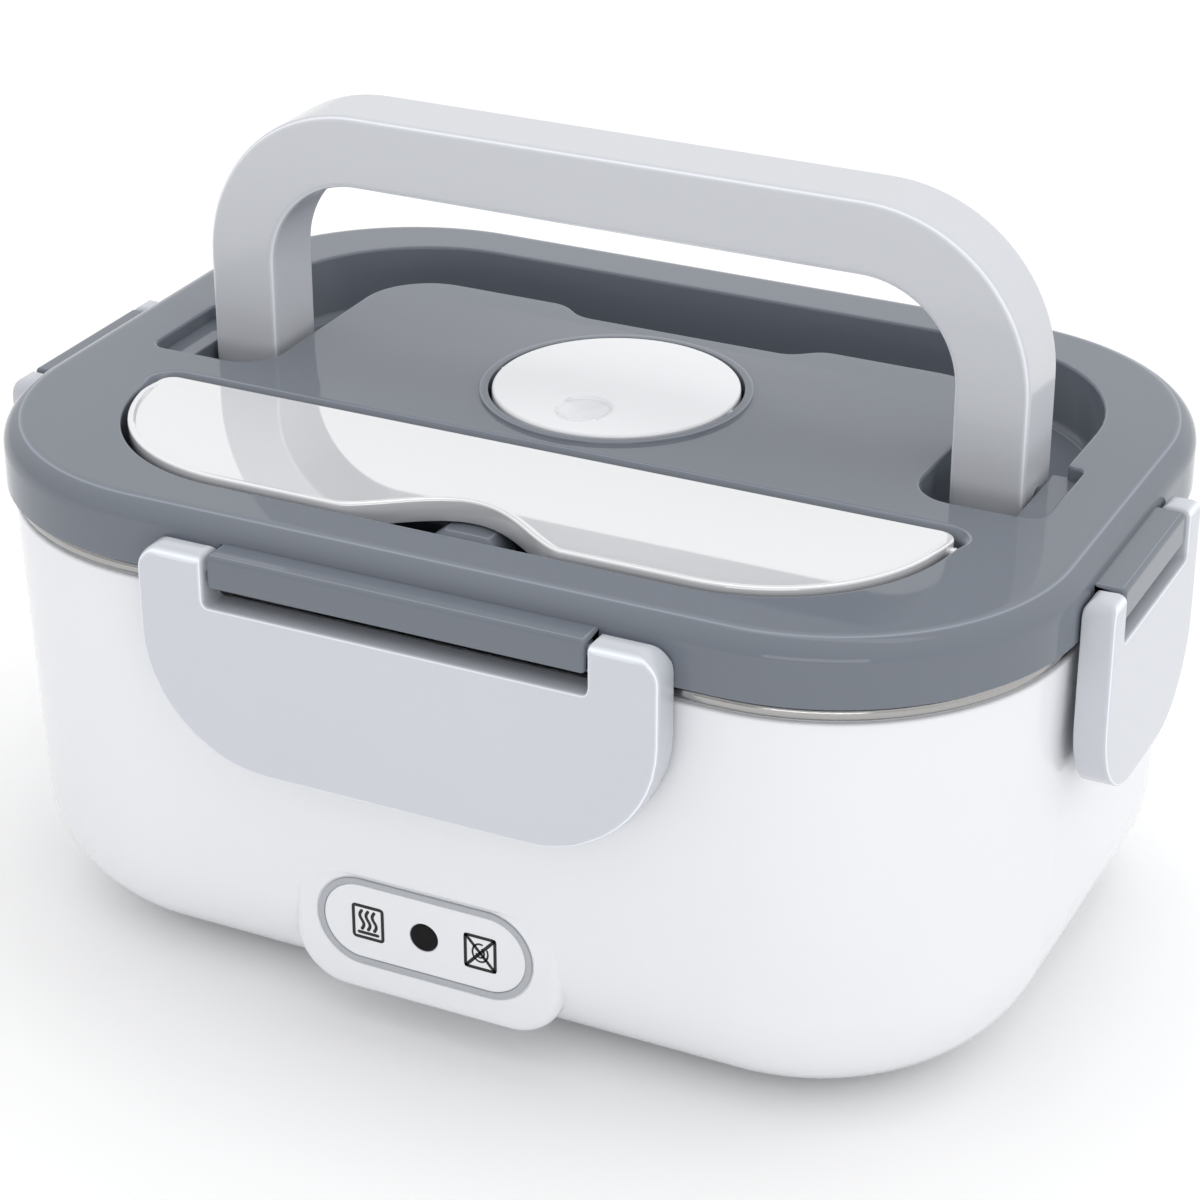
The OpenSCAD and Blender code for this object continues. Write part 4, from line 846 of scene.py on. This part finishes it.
def body_white():
    """White plastic of the body and of the panel plate in it."""
    return plastic("body_white", bpy.context.scene.lunchbox_colours.body, 0.12)


def place_piece(piece, material, body, slot, *replaced):
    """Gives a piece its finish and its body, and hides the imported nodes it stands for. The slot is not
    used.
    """
    piece.data.materials.clear()
    piece.data.materials.append(material)
    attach(piece, body)
    if replaced:
        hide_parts(*replaced)


def dress(material, *names):
    """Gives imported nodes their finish."""
    for name in names:
        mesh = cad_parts[name].data
        mesh.materials.clear()
        mesh.materials.append(material)


# ---- what a user may change ----

def colour_property(name, description, default):
    """Colour that a user may change."""
    return FloatVectorProperty(name=name, description=description, default=default, size=3, min=0, max=1,
                               subtype="COLOR")


def size_property(name, description, default, low, high):
    """Length that a user may change, in metres."""
    return FloatProperty(name=name, description=description, default=default, min=low, max=high,
                         subtype="DISTANCE", unit="LENGTH")


def power_property(name, description, default):
    """Power of a light that a user may change, in watts."""
    return FloatProperty(name=name, description=description, default=default, min=0, unit="POWER")


class LunchBoxColours(bpy.types.PropertyGroup):
    """Colours of the visible pieces"""
    body: colour_property("Body", "Colour of the body moulding", (0.80, 0.81, 0.84))
    lid: colour_property("Lid", "Colour of the lid moulding", (0.162, 0.181, 0.212))
    handle: colour_property("Handle", "Colour of the carry handle", (0.585, 0.60, 0.635))
    latch: colour_property("Latches", "Colour of the clip latches", (0.55, 0.57, 0.615))
    cover: colour_property("Cover", "Colour of the cutlery cover", (0.70, 0.705, 0.72))
    vent: colour_property("Vent cap", "Colour of the steam vent's cap", (0.84, 0.85, 0.87))
    ring: colour_property("Panel ring", "Colour of the ring round the panel", (0.42, 0.44, 0.47))
    steel: colour_property("Steel", "Colour of the steel container", (0.40, 0.395, 0.39))


class LunchBoxSizes(bpy.types.PropertyGroup):
    """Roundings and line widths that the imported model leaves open"""
    lid_edge: size_property("Lid edge", "Radius of the lid's rounded top edge", 0.005, 0.002, 0.006)
    trough_edge: size_property("Trough edge", "Radius of the edges round the trough", 0.0008, 0.0003, 0.002)
    handle_edge: size_property("Handle edge", "Radius of the handle's edges", 0.0013, 0.001, 0.004)
    latch_edge: size_property("Latch edge", "Radius of the latches' front edges", 0.0010, 0.0005, 0.003)
    body_edge: size_property("Body edge", "Radius of the body's upper edge", 0.0006, 0.0003, 0.001)
    sign_line: size_property("Sign line", "Width of the lines of the printed signs", 0.00072, 0.0003, 0.0009)


class StageProperties(bpy.types.PropertyGroup):
    """Strengths of the studio's lights"""
    sky: FloatProperty(name="Sky", description="Strength of the light from all round", default=1.13, min=0)
    key: power_property("Overhead light", "Power of the overhead light", 1.5)
    fill: power_property("Front light", "Power of the low light in front", 2.2)


# ---- studio ----

FLOOR_R, FLOOR_TONES = 9000.0, (0.93, 0.95)
SKY_FLAT, SKY_SIDES, SKY_SHARES = 0.63, 0.12, (("Z", 0.40), ("Y", 0.18), ("X", 0.12))
OVERHEAD = (0.1, 0.25, 1.5), (0, 0, 0.05), (1.2, 0.3)      # place, aim and size of the light, in metres
FRONT = (0.5, -1.3, 0.35), (0, 0, 0.08), (1.0, 0.3)
CAMERA_AIM, CAMERA_AWAY = Vector((0.00001, 0.0, 0.06623)), 0.72202
CAMERA_TURN, CAMERA_RISE = math.radians(25.889), math.radians(26.880)
PICTURE, FOCAL, SENSOR = 1200, 3305.04, 36.0    # the picture's side and focal length are in its pixels


def build_floor():
    """Plain pale floor with a hardly visible cloud of tone."""
    floor = Skin()
    floor.fill(upright(disc((0, 0), FLOOR_R, 96)[0], 0.0))
    floor = floor.make("studio_floor")
    pale = bpy.data.materials.new("floor_pale")
    pale.use_nodes = True
    tree = pale.node_tree
    spot = node(tree, "ShaderNodeTexCoord").outputs["Object"]
    cloud = node(tree, "ShaderNodeTexNoise", [(spot, "Vector")], Scale=3.0, Detail=2.0)
    tone = node(tree, "ShaderNodeValToRGB", [(cloud.outputs["Fac"], "Fac")])
    for stop, grey in zip(tone.color_ramp.elements, FLOOR_TONES):
        stop.color = (grey, grey, grey, 1)
    shader = tree.nodes["Principled BSDF"]
    tree.links.new(tone.outputs[0], shader.inputs["Base Color"])
    shader.inputs["Roughness"].default_value = 0.9
    shader.inputs["Specular IOR Level"].default_value = 0.1
    floor.data.materials.append(pale)


def build_sky(scene, strength):
    """White light from all round. Towards (x, y, z) it is a flat part, plus a share of each of z, y and x,
    plus a share of |x|, all times the strength."""
    scene.world = bpy.data.worlds.new("studio_sky")
    scene.world.use_nodes = True
    tree = scene.world.node_tree
    spot = node(tree, "ShaderNodeTexCoord").outputs["Generated"]
    way = node(tree, "ShaderNodeSeparateXYZ", [(spot, "Vector")]).outputs
    level = SKY_FLAT
    for axis, share in SKY_SHARES:
        level = math_node(tree, "ADD", level, math_node(tree, "MULTIPLY", way[axis], share))
    sides = math_node(tree, "MULTIPLY", math_node(tree, "ABSOLUTE", way["X"]), SKY_SIDES)
    level = math_node(tree, "MULTIPLY", math_node(tree, "ADD", level, sides), strength)
    back = tree.nodes["Background"]
    back.inputs["Color"].default_value = (1.0, 1.0, 1.0, 1.0)
    tree.links.new(level, back.inputs["Strength"])


def add_to_scene(name, data, at, way):
    """Adds a light or the camera at a place, looking along a direction."""
    made = bpy.data.objects.new(name, data)
    made.location = at
    made.rotation_euler = way.to_track_quat("-Z", "Y").to_euler()
    bpy.context.collection.objects.link(made)
    return made


def build_light(name, power, at, aim, size):
    """Rectangular soft light, turned to what it is aimed at."""
    lamp = bpy.data.lights.new(name, "AREA")
    lamp.shape = "RECTANGLE"
    lamp.size, lamp.size_y = size
    lamp.energy = power
    add_to_scene(name, lamp, at, Vector(aim) - Vector(at))


def build_camera(scene):
    """Camera of the photograph: it stands off its aim by a distance, turned to the right of the front and
    raised."""
    lens = bpy.data.cameras.new("camera")
    lens.sensor_fit = "HORIZONTAL"
    lens.sensor_width = SENSOR
    lens.lens = FOCAL / PICTURE * SENSOR
    lens.clip_end = 50.0
    level = math.cos(CAMERA_RISE)
    back = Vector((math.sin(CAMERA_TURN) * level, -math.cos(CAMERA_TURN) * level, math.sin(CAMERA_RISE)))
    scene.camera = add_to_scene("camera", lens, CAMERA_AIM + back * CAMERA_AWAY, -back)
    scene.view_settings.view_transform = "Standard"


# ---- operators ----

class BuildOperator(bpy.types.Operator):
    """What the operators of the lunch box share"""
    bl_options = {"REGISTER", "UNDO"}


class LUNCHBOX_OT_stage(BuildOperator):
    """Floor, soft studio light and the camera of the photograph"""
    bl_idname = "lunchbox.stage"
    bl_label = "Studio and camera"

    def execute(self, context):
        wanted = context.scene.lunchbox_stage
        build_floor()
        build_sky(context.scene, wanted.sky)
        build_light("overhead_light", wanted.key, *OVERHEAD)
        build_light("front_light", wanted.fill, *FRONT)
        build_camera(context.scene)
        return {"FINISHED"}


class LUNCHBOX_OT_finishes(BuildOperator):
    """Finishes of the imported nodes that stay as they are"""
    bl_idname = "lunchbox.finishes"
    bl_label = "Finishes of the packed pieces"

    def execute(self, context):
        dress(plastic("liner_white", (0.62, 0.63, 0.64), 0.3), "inner_liner", "lid_inner")
        dress(plastic("base_grey", (0.55, 0.56, 0.58), 0.45, 0.5), "base_plate")
        dress(plastic("inlet_white", (0.45, 0.46, 0.48), 0.3), "ac_inlet")
        dress(plastic("foot_rubber", (0.07, 0.07, 0.075), 0.7, 0.6), "rubber_feet")
        dress(plastic("silicone", (0.6, 0.61, 0.62), 0.5), "lid_gasket", "vent_seal")
        dress(plastic("element_black", (0.03, 0.03, 0.03), 0.5), "ptc_heater")
        dress(plastic("fuse_ceramic", (0.7, 0.69, 0.66), 0.5), "thermal_fuse")
        dress(plastic("board_green", (0.02, 0.12, 0.06), 0.4), "led_board")
        dress(metal("plate_aluminium", (0.72, 0.72, 0.74), 0.35, (1, 8, 8)), "heating_plate")
        dress(metal("zinc_steel", (0.55, 0.55, 0.57)), "base_screws", "clamp_screws", "lid_screws",
              "heater_clamp", "thermostat", "inlet_pins", *(side + "_latch_pin" for side in SIDES))
        # the handle's pins are real parts, but are coloured darker than the lid so that they pass for the
        # shade in the gaps beside the handle's legs: partly painted shade
        dress(plastic("pin_grey", (0.06, 0.07, 0.088), 0.3), "handle_pins")
        return {"FINISHED"}


class LUNCHBOX_OT_body(BuildOperator):
    """Body moulding with its two pods and the catch rails"""
    bl_idname = "lunchbox.body"
    bl_label = "Body"

    def execute(self, context):
        body = build_body(context.scene.lunchbox_sizes.body_edge / MM)
        place_piece(body, body_white(), "base", "body_white", "outer_housing")
        return {"FINISHED"}


class LUNCHBOX_OT_container(BuildOperator):
    """Steel food container with its rolled rim"""
    bl_idname = "lunchbox.container"
    bl_label = "Steel container"

    def execute(self, context):
        steel = metal("pan_steel", context.scene.lunchbox_colours.steel, 0.16, (1, 1, 14), 0.16)
        place_piece(build_pan(), steel, "container", "brushed", "steel_container")
        return {"FINISHED"}


class LUNCHBOX_OT_panel(BuildOperator):
    """Panel: ring, plate, lamp window and two printed signs"""
    bl_idname = "lunchbox.panel"
    bl_label = "Panel"

    def execute(self, context):
        # painted shade: the negative edge strength darkens the ring's rounded sides into a dark outline
        grey = plastic("ring_grey", context.scene.lunchbox_colours.ring, edge=(-0.5, (0, 1, 0), 0.5, 0.4))
        place_piece(build_ring(), grey, "base", "ring_grey", "panel_ring")
        place_piece(build_plate(), body_white(), "base", "body_white", "panel_plate")
        smoked = plastic("lens_black", (0.006, 0.006, 0.007), ripple=0.0, Specular_IOR_Level=0.12)
        place_piece(build_lens(), smoked, "base", "lens", "led_lens")
        ink = plastic("sign_black", (0.004, 0.004, 0.005), 0.5, 0.0)
        place_piece(build_symbols(context.scene.lunchbox_sizes.sign_line / MM), ink, "base", "lens")
        return {"FINISHED"}


class LUNCHBOX_OT_lid(BuildOperator):
    """Lid moulding with its trough, compartment, vent recess and hinge bars"""
    bl_idname = "lunchbox.lid"
    bl_label = "Lid"

    def execute(self, context):
        sizes, colours = context.scene.lunchbox_sizes, context.scene.lunchbox_colours
        # painted highlight: a pale line in the base colour where the flat top turns into its roundings
        grey = plastic("lid_grey", colours.lid, 0.04, 0.03, edge=(0.8, (0, 0, 1), 0.965, 0.035), IOR=1.38)
        lid = build_lid(sizes.lid_edge / MM, sizes.trough_edge / MM)
        place_piece(lid, grey, "lid", "lid_grey", "lid_shell")
        return {"FINISHED"}


class LUNCHBOX_OT_handle(BuildOperator):
    """Folding carry handle"""
    bl_idname = "lunchbox.handle"
    bl_label = "Carry handle"

    def execute(self, context):
        sizes, colours = context.scene.lunchbox_sizes, context.scene.lunchbox_colours
        # painted highlight: pale lines in the base colour along the handle's rounded edges
        grey = plastic("handle_grey", colours.handle, 0.14, edge=(0.55, (0, 1, 0), 0.76, 0.32))
        place_piece(build_handle(sizes.handle_edge / MM), grey, "handle", "handle_grey", "handle")
        return {"FINISHED"}


class LUNCHBOX_OT_cover(BuildOperator):
    """Half-moon cover of the cutlery compartment"""
    bl_idname = "lunchbox.cover"
    bl_label = "Cutlery cover"

    def execute(self, context):
        # painted highlight: a pale line in the base colour on the slopes of the lip and its rounded edge
        gloss = plastic("cover_gloss", context.scene.lunchbox_colours.cover, 0.03, 0.0, 0.02,
                        (0.5, (0, 0, 1), 0.86, 0.1), IOR=2.1, Coat_Weight=1.0, Coat_Roughness=0.03,
                        Coat_IOR=2.1)
        place_piece(build_cover(), gloss, "cutlery_cover", "cover_white", "cutlery_cover")
        return {"FINISHED"}


class LUNCHBOX_OT_vent(BuildOperator):
    """Rocking cap of the steam vent"""
    bl_idname = "lunchbox.vent"
    bl_label = "Vent cap"

    def execute(self, context):
        # painted shade: a darker ring in the base colour round the outer half of the dimple and on the cap's
        # rounded rim
        white = plastic("vent_white", context.scene.lunchbox_colours.vent, 0.1, 0.05,
                        edge=(-0.18, (0, 0, 1), 0.81, 0.07))
        place_piece(build_vent(), white, "vent", "cover_white", "vent_cap")
        return {"FINISHED"}


class LUNCHBOX_OT_latches(BuildOperator):
    """Four clip latches"""
    bl_idname = "lunchbox.latches"
    bl_label = "Clip latches"

    def execute(self, context):
        sizes, colours = context.scene.lunchbox_sizes, context.scene.lunchbox_colours
        for k, side in enumerate(SIDES):
            # painted highlight: pale lines in the base colour along the latches' rounded edges
            grey = plastic("latch_grey_along" if k % 2 else "latch_grey_across", colours.latch, 0.14,
                           edge=(0.7, (k % 2, 1 - k % 2, 0), 0.82, 0.26))
            node_name = side + "_latch"
            place_piece(build_latch(k, sizes.latch_edge / MM), grey, node_name, "latch_grey", node_name)
        return {"FINISHED"}


OPERATORS = (LUNCHBOX_OT_stage, LUNCHBOX_OT_finishes, LUNCHBOX_OT_body, LUNCHBOX_OT_container,
             LUNCHBOX_OT_panel, LUNCHBOX_OT_lid, LUNCHBOX_OT_handle, LUNCHBOX_OT_cover, LUNCHBOX_OT_vent,
             LUNCHBOX_OT_latches)


class LUNCHBOX_PT_panel(bpy.types.Panel):
    """Lists the sizes, the colours and the pieces"""
    bl_label = "Electric lunch box"
    bl_space_type = "VIEW_3D"
    bl_region_type = "UI"
    bl_category = "Lunch box"

    def draw(self, context):
        for group_name in ("lunchbox_sizes", "lunchbox_colours", "lunchbox_stage"):
            values = getattr(context.scene, group_name)
            for key in values.bl_rna.properties.keys():
                if key not in ("rna_type", "name"):
                    self.layout.prop(values, key)
        for operator in OPERATORS:
            self.layout.operator(operator.bl_idname)


PROPERTY_GROUPS = {"lunchbox_sizes": LunchBoxSizes, "lunchbox_colours": LunchBoxColours,
                   "lunchbox_stage": StageProperties}
CLASSES = (*PROPERTY_GROUPS.values(), *OPERATORS, LUNCHBOX_PT_panel)


def register():
    """Registers the classes and puts the property groups on the scene."""
    for cls in CLASSES:
        bpy.utils.register_class(cls)
    for name, cls in PROPERTY_GROUPS.items():
        setattr(bpy.types.Scene, name, PointerProperty(type=cls))


def unregister():
    """Takes away what register put in place."""
    for name in PROPERTY_GROUPS:
        delattr(bpy.types.Scene, name)
    for cls in reversed(CLASSES):
        bpy.utils.unregister_class(cls)


def main():
    """Registers the add-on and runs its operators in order."""
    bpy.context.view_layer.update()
    register()
    for operator in OPERATORS:
        section, name = operator.bl_idname.split(".")
        getattr(getattr(bpy.ops, section), name)()


if __name__ == "__main__":
    main()
